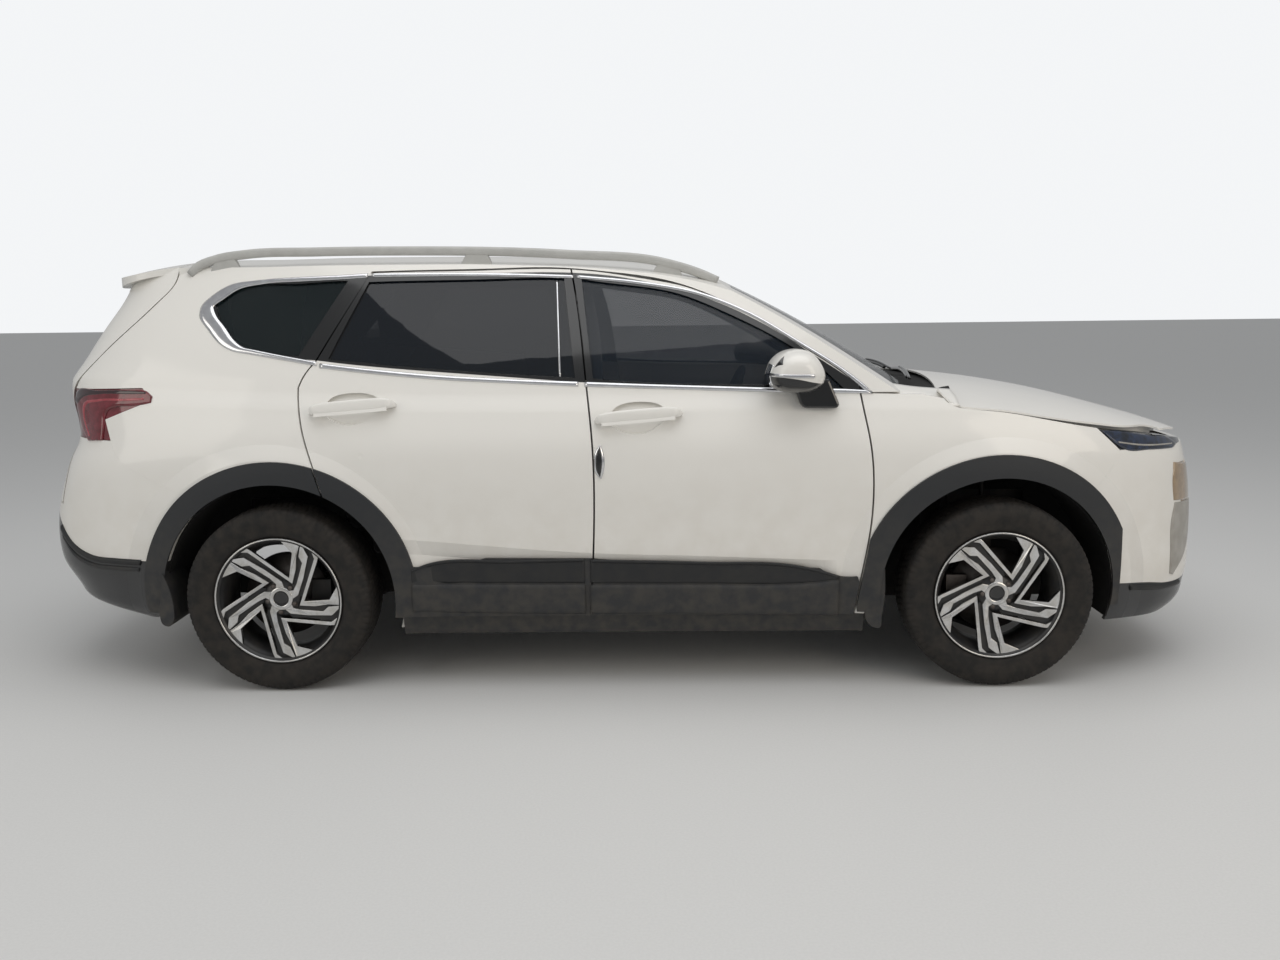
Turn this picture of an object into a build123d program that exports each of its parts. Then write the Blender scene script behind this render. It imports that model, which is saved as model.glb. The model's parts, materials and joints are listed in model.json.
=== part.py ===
from build123d import *
import os
import numpy as np

# Five-door mid-size sport utility vehicle, parked.  Millimetres.
# +X is forward, +Y is to the left, +Z is up.  The origin lies on the ground, at the
# middle of the vehicle's length and width.

# ---------------------------------------------------------------- driving dimensions
LENGTH = 4785.0
WIDTH = 1900.0                 # over the arch cladding
ROOF_HEIGHT = 1688.0           # highest point of the roof panel
RAIL_HEIGHT = 1712.0           # top of the roof rails
WHEELBASE = 2765.0
FRONT_OVERHANG = 945.0
FRONT_TRACK = 1637.0
REAR_TRACK = 1647.0

TYRE_RADIUS = 362.0            # loaded height of the hub
TYRE_WIDTH = 235.0
RIM_RADIUS = 247.0             # outside of the rim flange
RIM_WIDTH = 212.0
ARCH_RADIUS = 462.0            # hole cut in the panels
LINER_THICKNESS = 6.0

CLADDING_PROUD = 14.0          # unpainted cladding over the painted skin
SEAT_GAP = 0.3                 # between pieces that are fixed to each other
SKIN_GAP = 0.9                 # between layers taken from two stretches of the skin
SHUT_GAP = 7.0                 # round doors, bonnet and tailgate
DOOR_FLANGE = 32.0             # depth of a door at its edge and window frame
DOOR_DEPTH = 85.0              # depth of a door's box
FLANGE_WIDTH = 18.0            # from a door's edge to its box
PILLAR_OUTER = 106.0           # depth of the pillars behind the doors
PILLAR_INNER = 165.0
PANEL_DEPTH = 110.0            # quarter panel, pillars and roof sides
FENDER_DEPTH = 40.0
BUMPER_DEPTH = 42.0
FRONT_BUMPER_DEPTH = 20.0
GLASS_DEPTH = 9.0              # from the skin to the glass
GLASS_THICKNESS = 5.0
WINDOW_FRAME = 34.0            # visible frame round a side window
BELT_FRAME = 20.0              # below the window
BONNET_SKIN = 7.0
BONNET_DEPTH = 36.0
ROOF_THICKNESS = 40.0
TAILGATE_DEPTH = 60.0

DOOR_BOTTOM = 290.0
SILL_BOTTOM = 205.0
APERTURE_SILL = 430.0          # lower edge of the door apertures
HINGE_INSET = 70.0             # door hinge axis behind the door's front edge
HINGE_PIN = 5.0
HINGE_CLEARANCE = 0.3
HINGE_LINE = 905.0             # distance of the door hinge axes from the centre plane
DOOR_HINGE_HEIGHTS = (725.0, 930.0)

FRONT_AXLE = LENGTH / 2 - FRONT_OVERHANG
REAR_AXLE = FRONT_AXLE - WHEELBASE
AXLE_HEIGHT = TYRE_RADIUS
NOSE = LENGTH / 2
TAIL = -LENGTH / 2
HALF = WIDTH / 2

# ---------------------------------------------------------------- body surface
# half width of the painted skin: height, distance inside HALF
SIDE_SECTION = [(150, 105), (200, 82), (300, 57), (420, 47), (560, 44), (650, 41), (750, 32),
                (850, 26), (930, 29), (985, 39), (1040, 57), (1100, 78), (1300, 154),
                (1500, 250), (1600, 305), (1760, 420)]
# centre line of the nose and of the tail: height, distance inside NOSE or TAIL
NOSE_SECTION = [(150, 330), (190, 120), (240, 36), (330, 4), (560, 0), (700, 12), (860, 46),
                (920, 68), (1000, 140), (1700, 140)]
TAIL_SECTION = [(150, 400), (240, 330), (300, 140), (390, 56), (460, 14), (560, 0), (690, 18),
                (780, 48), (890, 94), (955, 130), (1000, 132), (1150, 96), (1200, 96),
                (1250, 130), (1400, 224), (1519, 302), (1616, 342), (1700, 362)]
NOSE_ROUNDING = 3.7            # superellipse exponents of the plan view's ends
TAIL_ROUNDING = 4.4
END_START = 700.0              # where the ends begin to round, from the middle
FLARE = 16.0                   # swelling of the skin round the wheel arches
FLARE_WIDTH = 135.0
CORNER_REACH = 500.0           # the side skin goes round the tail to this distance from the middle


def hermite(table, at):
    """Smooth curve through a table's points, without overshoot at its ends."""
    x, y = np.array(table, float).T
    step = np.diff(x)
    slope = np.diff(y) / step
    tangent = np.empty_like(y)
    tangent[1:-1] = (slope[:-1] * step[1:] + slope[1:] * step[:-1]) / (step[:-1] + step[1:])
    tangent[0], tangent[-1] = slope[0], slope[-1]
    at = np.clip(at, x[0], x[-1])
    i = np.clip(np.searchsorted(x, at) - 1, 0, len(x) - 2)
    h = step[i]
    s = (at - x[i]) / h
    return ((1 + 2 * s) * (1 - s) ** 2 * y[i] + s * (1 - s) ** 2 * h * tangent[i]
            + s * s * (3 - 2 * s) * y[i + 1] + s * s * (s - 1) * h * tangent[i + 1])


def smooth_step(low, high, at):
    t = np.clip((at - low) / (high - low), 0, 1)
    return t * t * (3 - 2 * t)


def half_width(x, z):
    """Half width of the skin away from its rounded ends, with the arch flares."""
    width = HALF - hermite(SIDE_SECTION, z)
    for axle in (FRONT_AXLE, REAR_AXLE):
        r = np.hypot(x - axle, z - AXLE_HEIGHT)
        width = width + FLARE * (1 - smooth_step(ARCH_RADIUS, ARCH_RADIUS + FLARE_WIDTH, r)) \
            * smooth_step(1000, 930, z)
    return width


def waterline(z, samples=600):
    """The skin's outline at one height, from the middle of the nose to that of the tail."""
    turn = np.linspace(0, np.pi / 2, samples)
    nose_reach = NOSE - hermite(NOSE_SECTION, z) - END_START
    tail_reach = -TAIL - hermite(TAIL_SECTION, z) - END_START
    nose_x = END_START + nose_reach * np.cos(turn) ** (2 / NOSE_ROUNDING)
    nose_y = np.sin(turn) ** (2 / NOSE_ROUNDING)
    tail_x = -END_START - tail_reach * np.cos(turn[::-1]) ** (2 / TAIL_ROUNDING)
    tail_y = np.sin(turn[::-1]) ** (2 / TAIL_ROUNDING)
    middle = np.linspace(END_START, -END_START, samples)[1:-1]
    x = np.concatenate([nose_x, middle, tail_x])
    y = np.concatenate([nose_y, np.ones(samples - 2), tail_y])
    return x, y * half_width(x, z)


def skin_y(x, z):
    """Distance of the skin from the centre plane at one point of the side."""
    line_x, line_y = waterline(z)
    middle = len(line_x) // 2
    if x > 0:
        return float(np.interp(-x, -line_x[:middle], line_y[:middle]))
    return float(np.interp(-x, -line_x[middle:], line_y[middle:]))


def run_length(x, y):
    return np.concatenate([[0], np.cumsum(np.hypot(np.diff(x), np.diff(y)))])


def with_normals(points, outward):
    """A grid of points and its unit normals, which point the way outward does."""
    normals = np.cross(np.gradient(points, axis=0), np.gradient(points, axis=1))
    normals /= np.linalg.norm(normals, axis=2)[..., None]
    middle = normals[normals.shape[0] // 2, normals.shape[1] // 2]
    return points, normals * np.sign(np.dot(middle, outward))


def side_grid(front, rear, low, high, columns, rows=38):
    """The right side of the skin between two x; rear None goes on round the tail's corner."""
    heights = np.linspace(low, high, rows)
    points = np.zeros((columns, rows, 3))
    for row, z in enumerate(heights):
        x, y = waterline(z)
        run = run_length(x, y)
        start = np.interp(-front, -x, run)
        if rear is None:
            half = len(x) // 2
            end = np.interp(-CORNER_REACH, -y[half:], run[half:])
        else:
            end = np.interp(-rear, -x, run)
        at = np.linspace(start, end, columns)
        points[:, row] = np.stack([np.interp(at, run, x), -np.interp(at, run, y),
                                   np.full(columns, z)], 1)
    return with_normals(points, (0, -1, 0))


def end_grid(front, start, low, high, columns=60, rows=30):
    """The skin of one whole end, from the right side round to the left."""
    heights = np.linspace(low, high, rows)
    points = np.zeros((columns, rows, 3))
    half = np.linspace(-1, 1, columns)
    for row, z in enumerate(heights):
        x, y = waterline(z)
        run = run_length(x, y)
        if front:
            reach, origin = np.interp(-start, -x, run), 0.0
        else:
            reach, origin = run[-1] - np.interp(-start, -x, run), run[-1]
        at = np.abs(half) * reach
        if not front:
            at = origin - at
        points[:, row] = np.stack([np.interp(at, run, x), np.sign(half) * np.interp(at, run, y),
                                   np.full(columns, z)], 1)
    return with_normals(points, (1 if front else -1, 0, 0))


def sheet(points):
    rows = [[Vector(*point) for point in row] for row in points]
    return Face.make_surface_from_array_of_points(rows, tol=0.8, min_deg=3, max_deg=3)


def between(face_a, face_b):
    """Solid between two like-edged faces."""
    edges_b = face_b.edges()
    sides = []
    for edge in face_a.edges():
        twin = min(edges_b, key=lambda other: (other @ 0.5 - edge @ 0.5).length)
        sides.append(Face.make_surface_from_curves(edge, twin))
    return Solid(Shell([face_a, face_b] + sides))


class Skin:
    """A surface that gives solid layers between two depths below it."""

    def __init__(self, grid):
        self.points, self.normals = grid
        self.faces = {}

    def face(self, depth):
        if depth not in self.faces:
            self.faces[depth] = sheet(self.points - self.normals * depth)
        return self.faces[depth]

    def layer(self, outer, inner):
        return between(self.face(outer), self.face(inner))


# ---------------------------------------------------------------- outlines
def outline(*runs):
    """Closed face from runs of (u, v) points, joined by straight lines.

    A run of one point is a corner, one of two points a line, and a longer one a spline.
    """
    edges = []
    end = None
    for run in list(runs) + [[runs[0][0]]]:
        points = [Vector(*point) for point in run]
        if end is not None and (points[0] - end).length > 1e-3:
            edges.append(Edge.make_line(end, points[0]))
        if len(points) == 2:
            edges.append(Edge.make_line(*points))
        elif len(points) > 2:
            edges.append(Edge.make_spline(points))
        end = points[-1]
    return Face(Wire(edges))


def corners(*points):
    """Closed face with straight sides."""
    return outline(*[[point] for point in points])


def from_side(face, start=-1200.0, end=0.0):
    """A side-view outline (x, z) carried across from one y to another."""
    placed = face.rotate(Axis.X, 90).moved(Location((0, start, 0)))
    return Solid.extrude(placed, Vector(0, end - start, 0))


def from_above(face, low, high):
    """A plan outline (x, y) carried from one height to another."""
    return Solid.extrude(face.moved(Location((0, 0, low))), Vector(0, 0, high - low))


def from_front(face, start, end):
    """An outline (y, z) carried along x."""
    placed = face.rotate(Axis.X, 90).rotate(Axis.Z, 90).moved(Location((start, 0, 0)))
    return Solid.extrude(placed, Vector(end - start, 0, 0))


def block(x, y, z):
    """Box from three (low, high) pairs."""
    return Pos((x[0] + x[1]) / 2, (y[0] + y[1]) / 2, (z[0] + z[1]) / 2) \
        * Box(abs(x[1] - x[0]), abs(y[1] - y[0]), abs(z[1] - z[0]))


def rod(start, end, radius):
    """Round bar from one point to another."""
    path = Vector(*end) - Vector(*start)
    return Solid.make_cylinder(radius, path.length, Plane(Vector(*start), z_dir=path))


def left(shape):
    return mirror(shape, about=Plane.XZ)


def from_front_axle(points, dx=0.0, dz=0.0):
    return [(FRONT_AXLE + x + dx, z + dz) for x, z in points]


def from_rear_axle(points, dx=0.0, dz=0.0):
    return [(REAR_AXLE + x + dx, z + dz) for x, z in points]


def from_tail(points, dx=0.0, dz=0.0):
    return [(TAIL + x + dx, z + dz) for x, z in points]


# shut lines in the side view, upwards; x from the axle that the line belongs to
FRONT_LINE = [(-548, 270), (-521, 453), (-490, 643), (-486, 801), (-498, 940), (-516, 1044),
              (-532, 1134)]
MIDDLE_LINE = [(-1559, 270), (-1541, 683), (-1544, 965), (-1566, 1174), (-1588, 1372),
               (-1630, 1625)]
REAR_LINE_LOW = [(215, 700), (193, 791), (168, 868), (138, 960), (109, 1080), (101, 1175)]
REAR_LINE_HIGH = [(101, 1175), (118, 1215), (160, 1269), (345, 1612)]
# side window band, upper and lower edge
BAND_TOP_FRONT = [(-1544, 1603), (-1361, 1574), (-1203, 1545), (-1047, 1481), (-831, 1371),
                  (-681, 1271), (-532, 1172), (-478, 1133)]
BAND_TOP_REAR = [(-322, 1474), (-262, 1535), (-200, 1569), (69, 1595), (340, 1606), (701, 1610),
                 (1220, 1603)]
BAND_BOTTOM_FRONT = [(-1544, 1177), (-1362, 1162), (-900, 1148), (-478, 1127)]
BAND_BOTTOM_REAR = [(-302, 1440), (-224, 1348), (-155, 1314), (153, 1268), (875, 1200),
                    (1220, 1177)]
GATE_LINE = [(132, 705), (166, 900), (187, 1000), (208, 1181), (286, 1258), (578, 1519),
             (622, 1566), (634, 1616), (636, 1700)]
BUMPER_LINE_REAR = [(-325, 763), (-400, 793), (-545, 865), (-625, 921), (-654, 975)]
BUMPER_LINE_FRONT = [(350, 753), (405, 807), (462, 905)]
BONNET_EDGE = [(-245, 1160), (-220, 1119), (-183, 1090), (-146, 1081), (-15, 1067), (139, 1040),
               (370, 997)]


def gate_edge(start, end, dx=0.0, count=9):
    """Points on the tailgate's shut line between two heights."""
    return [(line_x(GATE_LINE, TAIL, z) + dx, z) for z in np.linspace(start, end, count)]


def band_top(x):
    table = sorted([(REAR_AXLE + a, z) for a, z in BAND_TOP_REAR[:-1]]
                   + [(FRONT_AXLE + a, z) for a, z in BAND_TOP_FRONT])
    return float(hermite(table, x))


def band_bottom(x):
    table = sorted([(REAR_AXLE + a, z) for a, z in BAND_BOTTOM_REAR[:-1]]
                   + [(FRONT_AXLE + a, z) for a, z in BAND_BOTTOM_FRONT])
    return float(hermite(table, x))


def along(curve, start, end, dz=0.0, count=7):
    return [(x, curve(x) + dz) for x in np.linspace(start, end, count)]


def line_x(line, axle, z):
    """x of a shut line at one height."""
    return axle + float(hermite([(b, a) for a, b in line], z))


# ---------------------------------------------------------------- skins and cutters
middle = Skin(side_grid(FRONT_AXLE - 350, REAR_AXLE - 60, 160, 1700, 44))
frame = Skin(side_grid(FRONT_AXLE - 180, None, 600, 1700, 60))
wing = Skin(side_grid(FRONT_AXLE + 480, FRONT_AXLE - 600, 160, 1180, 30, 30))
nose = Skin(end_grid(True, FRONT_AXLE - 60, 160, 1000))
tail = Skin(end_grid(False, REAR_AXLE + 60, 160, 1700, rows=44))

ROOF_PROFILE = [(-2400, 1560), (-2064, 1625), (-1889, 1664), (-1400, ROOF_HEIGHT - 4),
                (-900, ROOF_HEIGHT), (-400, ROOF_HEIGHT - 7), (0, ROOF_HEIGHT - 28),
                (300, ROOF_HEIGHT - 68), (600, ROOF_HEIGHT - 150)]
ROOF_CROWN = 46.0              # drop of the roof at ROOF_EDGE from the centre line
ROOF_EDGE = 600.0
SCREEN_PROFILE = [(1100, 1262), (1171, 1148), (1388, 790), (1567, 440), (1760, 20)]
SCREEN_BULGE = 95.0
SCREEN_EDGE = 700.0
BONNET_CENTRE = [(1150, 1176), (1327, 1157), (1613, 1122), (1828, 1082), (2062, 1022),
                 (2254, 962), (2353, 912), (2400, 880)]
BONNET_SIDE = from_front_axle(BONNET_EDGE) + [(2098, 954), (2250, 925), (2400, 880)]
BONNET_WIDTH = 872.0


def roof_z(x, y):
    return hermite(ROOF_PROFILE, x) - ROOF_CROWN * (np.abs(y) / ROOF_EDGE) ** 2.3


def screen_x(y, z):
    return hermite(SCREEN_PROFILE, z) - SCREEN_BULGE * (np.abs(y) / SCREEN_EDGE) ** 2


def bonnet_z(x, y):
    edge, centre = hermite(BONNET_SIDE, x), hermite(BONNET_CENTRE, x)
    return edge + (centre - edge) * (1 - (np.abs(y) / BONNET_WIDTH) ** 2.4)


def height_sheet(height, x_range, y_reach, dz=0.0, columns=36, rows=25):
    x, y = np.meshgrid(np.linspace(*x_range, columns), np.linspace(-y_reach, y_reach, rows),
                       indexing="ij")
    return sheet(np.stack([x, y, height(x, y) + dz], 2))


def screen_sheet(push=0.0, rise=0.0):
    """The windscreen's outer surface, moved forward and up."""
    y, z = np.meshgrid(np.linspace(-900, 900, 25), np.linspace(1105, 1755, 16), indexing="ij")
    return sheet(np.stack([screen_x(y, z) + push, y, z + rise], 2))


roof_top = height_sheet(roof_z, (-2390, 590), 900)
above_roof = between(roof_top, height_sheet(roof_z, (-2390, 590), 900, 400))
ahead_of_screen = between(screen_sheet(), screen_sheet(700, 350))
ahead_of_screen_inner = between(screen_sheet(-70, -35), screen_sheet(700, 350))


def arch_cut(axle, radius, start=-1300.0, end=-480.0):
    return rod((axle, start, AXLE_HEIGHT), (axle, end, AXLE_HEIGHT), radius)


front_arch = arch_cut(FRONT_AXLE, ARCH_RADIUS)
rear_arch = arch_cut(REAR_AXLE, ARCH_RADIUS)

# ---------------------------------------------------------------- doors
front_edge = lambda z: line_x(FRONT_LINE, FRONT_AXLE, z)
middle_edge = lambda z: line_x(MIDDLE_LINE, FRONT_AXLE, z)
FRONT_HINGE_X = front_edge(850) - HINGE_INSET
REAR_HINGE_X = middle_edge(850) - HINGE_INSET


def front_door_outline(grow=0.0):
    """Edge of the front door, or of the hole round it where grow is positive."""
    front = from_front_axle(FRONT_LINE, -SHUT_GAP / 2 + grow)
    front[0] = (front[0][0], DOOR_BOTTOM - grow)
    rear = from_front_axle(MIDDLE_LINE, SHUT_GAP / 2 - grow)[::-1]
    rear[-1] = (rear[-1][0], DOOR_BOTTOM - grow)
    top_front = (front[-1][0], band_top(front[-1][0]) + grow)
    rear_top = band_top(rear[0][0]) + grow
    rear[0] = (rear[0][0], rear_top)
    top = [top_front] + along(band_top, FRONT_AXLE - 680, FRONT_AXLE - 1500, grow, 6) + [rear[0]]
    return outline(front, top, rear)


def rear_door_outline(grow=0.0):
    front = from_front_axle(MIDDLE_LINE, -SHUT_GAP / 2 + grow)
    front[0] = (front[0][0], DOOR_BOTTOM - grow)
    front[-1] = (front[-1][0], band_top(front[-1][0]) + grow)
    low = from_rear_axle(REAR_LINE_LOW, SHUT_GAP / 2 - grow)
    high = from_rear_axle(REAR_LINE_HIGH, SHUT_GAP / 2 - grow)
    high[-1] = (high[-1][0], band_top(high[-1][0]) + grow)
    top = [front[-1]] + along(band_top, FRONT_AXLE - 1750, REAR_AXLE + 420, grow, 5) + [high[-1]]
    corner = (REAR_AXLE + 300, DOOR_BOTTOM - grow)
    return outline(front, top, high[-2::-1], low[::-1], [low[0], corner])


def window_outline(x_rear_low, x_rear_high, x_front_low, x_front_high, shrink=0.0):
    """A window between the band's edges, inside its frame."""
    low = band_bottom_line(x_front_low - shrink, x_rear_low + shrink, BELT_FRAME + shrink)
    high = band_top_line(x_rear_high + shrink, x_front_high - shrink, -WINDOW_FRAME - shrink)
    return outline(low, [low[-1], high[0]], high, [high[-1], low[0]])


def band_bottom_line(start, end, dz):
    return along(band_bottom, start, end, dz, 4)


def band_top_line(start, end, dz):
    return along(band_top, start, end, dz, 6)


def front_window(shrink=0.0):
    rear = middle_edge(1372) + WINDOW_FRAME
    return window_outline(rear + 14, rear - 34, front_edge(1134) - 62, front_edge(1134) - 150, shrink)


def rear_window(shrink=0.0):
    front = middle_edge(1372) - WINDOW_FRAME
    return window_outline(REAR_AXLE + 210, REAR_AXLE + 345, front + 14, front - 34, shrink)


def quarter_window(shrink=0.0):
    edge = along(band_bottom, REAR_AXLE + 95, REAR_AXLE - 205, BELT_FRAME + shrink, 5)
    top = along(band_top, REAR_AXLE - 262, REAR_AXLE + 262, -WINDOW_FRAME + 8 - shrink, 6)
    return outline([(edge[0][0] - shrink, edge[0][1])] + edge[1:],
                   [edge[-1], top[0]], top[:-1] + [(top[-1][0] - shrink, top[-1][1])])


def hinge_arm(x, z, reach):
    """Pin and inward arm of one door hinge, fixed to the pillar."""
    pin = rod((x, -HINGE_LINE, z - 25), (x, -HINGE_LINE, z + 25), HINGE_PIN)
    arm = block((x - 7, x + 7), (-HINGE_LINE, reach), (z - 8, z + 8))
    return pin + arm


def hinge_pocket(x, edge, z):
    """Room for one hinge arm in the front end of a door, and the bore for its pin."""
    pocket = block((x - 13, edge + 30), (-HINGE_LINE - 8, -HINGE_LINE + 160), (z - 13, z + 13))
    bore = rod((x, -HINGE_LINE, z - 27), (x, -HINGE_LINE, z + 27), HINGE_PIN + HINGE_CLEARANCE)
    return [pocket, bore]


def door_solid(edge_outline, box_outline, window, hinge_x, edge_x):
    flange = middle.layer(0, DOOR_FLANGE) & from_side(edge_outline)
    box = middle.layer(DOOR_FLANGE - 8, DOOR_DEPTH) & from_side(box_outline)
    solid = (flange + box) - from_side(window)
    for height in DOOR_HINGE_HEIGHTS:
        for cutter in hinge_pocket(hinge_x, edge_x, height):
            solid = solid - cutter
    return solid


def front_door_box():
    front = from_front_axle(FRONT_LINE, -SHUT_GAP / 2 - FLANGE_WIDTH)
    front[0] = (front[0][0], DOOR_BOTTOM + FLANGE_WIDTH)
    rear = from_front_axle(MIDDLE_LINE[:4], SHUT_GAP / 2 + FLANGE_WIDTH)[::-1]
    rear[-1] = (rear[-1][0], DOOR_BOTTOM + FLANGE_WIDTH)
    belt = along(band_bottom, front[-1][0], rear[0][0], BELT_FRAME - 14, 4)
    front[-1] = belt[0]
    rear[0] = belt[-1]
    return outline(front, belt, rear)


def rear_door_box():
    front = from_front_axle(MIDDLE_LINE[:4], -SHUT_GAP / 2 - FLANGE_WIDTH)
    front[0] = (front[0][0], DOOR_BOTTOM + FLANGE_WIDTH)
    low = from_rear_axle(REAR_LINE_LOW, SHUT_GAP / 2 + FLANGE_WIDTH)
    high = from_rear_axle(REAR_LINE_HIGH[1:3], SHUT_GAP / 2 + FLANGE_WIDTH)
    belt = along(band_bottom, front[-1][0], high[-1][0], BELT_FRAME - 14, 4)
    front[-1] = belt[0]
    corner = (REAR_AXLE + 300, DOOR_BOTTOM + FLANGE_WIDTH)
    return outline(front, belt, [belt[-1], high[0]], low[::-1], [low[0], corner])


def front_door():
    solid = door_solid(front_door_outline(), front_door_box(), front_window(), FRONT_HINGE_X,
                       front_edge(850))
    return with_handle(solid, HANDLE_FRONT) + door_mirror()


def rear_door():
    solid = door_solid(rear_door_outline(), rear_door_box(), rear_window(), REAR_HINGE_X,
                       middle_edge(850))
    return with_handle(solid - rear_arch, HANDLE_REAR)


def door_mirror():
    """Door mirror: a head domed in all three views, on its foot at the front corner of the window."""
    x, z = FRONT_AXLE - 784, 1226
    side = outline([(x - 96, z - 34), (x - 84, z + 20), (x - 36, z + 64), (x + 16, z + 62), (x + 68, z + 20),
                    (x + 88, z - 44)], [(x + 88, z - 44), (x + 36, z - 68), (x - 56, z - 64), (x - 96, z - 34)])
    front = outline([(-872, z - 62), (-960, z - 70), (-1026, z - 44), (-1038, z), (-1004, z + 50),
                     (-940, z + 66), (-872, z + 60)])
    above = outline([(x - 98, -872), (x - 90, -990), (x - 40, -1037), (x + 30, -1030), (x + 78, -985),
                     (x + 92, -872)])
    head = from_side(side, -1100, -800) & from_front(front, x - 200, x + 200) & from_above(above, 1000, 1400)
    foot = corners((x + 2, 1180), (x + 30, 1092), (x + 146, 1090), (x + 106, 1180))
    return head + from_side(foot, -906, -845)


HANDLE_FRONT = (-58, 1019)     # rear lower corner of a handle
HANDLE_REAR = (-1141, 1062)
HANDLE_SIZE = (275, 30)


def with_handle(door, corner):
    """Door with a shallow cup and a bar handle on two feet."""
    (x, z), (length, height) = corner, HANDLE_SIZE
    local = Skin(side_grid(x + length + 30, x - 30, z - 50, z + 120, 9, 7))
    cup = outline([(x + 40, z + 2), (x + 135, z - 26), (x + 232, z + 20)],
                  [(x + 232, z + 20), (x + 236, z + 62), (x + 135, z + 92), (x + 38, z + 58), (x + 40, z + 2)])
    door = door - (local.layer(-30, 16) & from_side(cup))
    bar = corners((x, z + 8), (x + length, z + 30), (x + length, z + 30 + height),
                  (x, z + 10 + height))
    foot_rear = corners((x + 2, z + 12), (x + 34, z + 15), (x + 34, z + 38), (x + 2, z + 36))
    foot_front = corners((x + 240, z + 30), (x + 272, z + 33), (x + 272, z + 56), (x + 240, z + 52))
    handle = local.layer(-40, -27) & from_side(bar)
    feet = local.layer(-32, 12)
    return door + (handle + (feet & from_side(foot_rear)) + (feet & from_side(foot_front)))


def side_glass(window):
    return middle.layer(GLASS_DEPTH, GLASS_DEPTH + GLASS_THICKNESS) & from_side(window)


# ---------------------------------------------------------------- fixed side structure
def side_frame_outline():
    """Roof side, pillars and quarter panel in one, in the side view."""
    door_top = FRONT_AXLE + FRONT_LINE[-1][0]
    under_roof = along(band_top, door_top, REAR_AXLE + 352, SHUT_GAP, 9)
    high = from_rear_axle(REAR_LINE_HIGH, -SHUT_GAP / 2)[::-1]
    high[0] = under_roof[-1]
    low = from_rear_axle(REAR_LINE_LOW, -SHUT_GAP / 2)[::-1]
    low[0] = high[-1]
    bumper = from_rear_axle(BUMPER_LINE_REAR)
    lamp = from_tail([(421, 975), (391, 1055), (570, 1120), (592, 1138), (555, 1178), (218, 1168)])
    gate = gate_edge(1225, 1700, SHUT_GAP)
    corner_top = [(gate[-1][0], 1715), (FRONT_AXLE - 1000, 1715), (FRONT_AXLE - 300, 1280),
                  (FRONT_AXLE - 262, 1138), (door_top + 2, 1138)]
    return outline(under_roof, high[1:], low, [(REAR_AXLE, 640)], bumper, *[[p] for p in lamp],
                   gate, *[[p] for p in corner_top])


def ring_outline():
    """Inner pillars, sill and roof side behind the doors."""
    rear = REAR_AXLE + 60
    return corners((FRONT_AXLE - 505, SILL_BOTTOM), (FRONT_AXLE - 400, 600),
                   (FRONT_AXLE - 400, 1180), (FRONT_AXLE - 1100, 1715), (rear, 1715),
                   (rear, 700), (REAR_AXLE + 430, SILL_BOTTOM))


def front_aperture():
    front = from_front_axle(FRONT_LINE, -80)
    front[0] = (front[0][0], APERTURE_SILL)
    rear = from_front_axle(MIDDLE_LINE, 60)[::-1]
    rear[0] = (rear[0][0], band_top(rear[0][0]) - 55)
    rear[-1] = (rear[-1][0], APERTURE_SILL)
    top = along(band_top, front[-1][0], rear[0][0], -55, 6)
    front[-1] = top[0]
    return outline(front, top, rear)


def rear_aperture():
    front = from_front_axle(MIDDLE_LINE, -104)
    front[0] = (front[0][0], APERTURE_SILL)
    front[-1] = (front[-1][0], band_top(front[-1][0]) - 55)
    rear = from_rear_axle(REAR_LINE_HIGH, 70)[::-1]
    top = along(band_top, front[-1][0], rear[0][0] + 20, -55, 4)
    rear[0] = top[-1]
    low = [rear[-1], (REAR_AXLE + 225, 860), (REAR_AXLE + 480, 640), (REAR_AXLE + 560, APERTURE_SILL)]
    return outline(front, top, rear[1:], *[[point] for point in low])


def body_side():
    fixed = frame.layer(0, PANEL_DEPTH) & from_side(side_frame_outline())
    fixed = fixed - from_side(quarter_window())
    ring = middle.layer(PILLAR_OUTER, PILLAR_INNER) & from_side(ring_outline())
    ring = ring - from_side(front_aperture()) - from_side(rear_aperture())
    ring = ring - under_roof_cut - ahead_of_screen_inner - rear_arch - front_arch
    fixed = fixed - above_roof - ahead_of_screen - rear_arch
    solid = fixed + ring
    for z in DOOR_HINGE_HEIGHTS:
        solid = solid + hinge_arm(FRONT_HINGE_X, z, -HINGE_LINE + 112)
        solid = solid + hinge_arm(REAR_HINGE_X, z, -HINGE_LINE + 112)
    return max(solid.solids(), key=lambda piece: piece.volume)


def hinge_post():
    solid = wing.layer(FENDER_DEPTH + SEAT_GAP, PILLAR_OUTER - 2 * SKIN_GAP) & from_side(hinge_post_outline())
    return solid - front_arch


def hinge_post_outline():
    rear = from_front_axle(FRONT_LINE[1:], SHUT_GAP)
    rear[-1] = (rear[-1][0], 1112)
    return outline([(FRONT_AXLE - 300, 1112)], rear[::-1], [(FRONT_AXLE - 400, 453)],
                   [(FRONT_AXLE - 300, 700)])


middle_wide = Skin(side_grid(FRONT_AXLE - 200, REAR_AXLE - 120, 160, 1700, 46))
under_roof_cut = between(height_sheet(roof_z, (-2390, 590), 900, -ROOF_THICKNESS - SEAT_GAP),
                         height_sheet(roof_z, (-2390, 590), 900, 400))



def sill():
    return middle.layer(26, PILLAR_OUTER - SEAT_GAP) & from_side(corners(
        (FRONT_AXLE - 505, SILL_BOTTOM), (FRONT_AXLE - 505, DOOR_BOTTOM - SHUT_GAP),
        (REAR_AXLE + 470, DOOR_BOTTOM - SHUT_GAP), (REAR_AXLE + 470, SILL_BOTTOM)))


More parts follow.
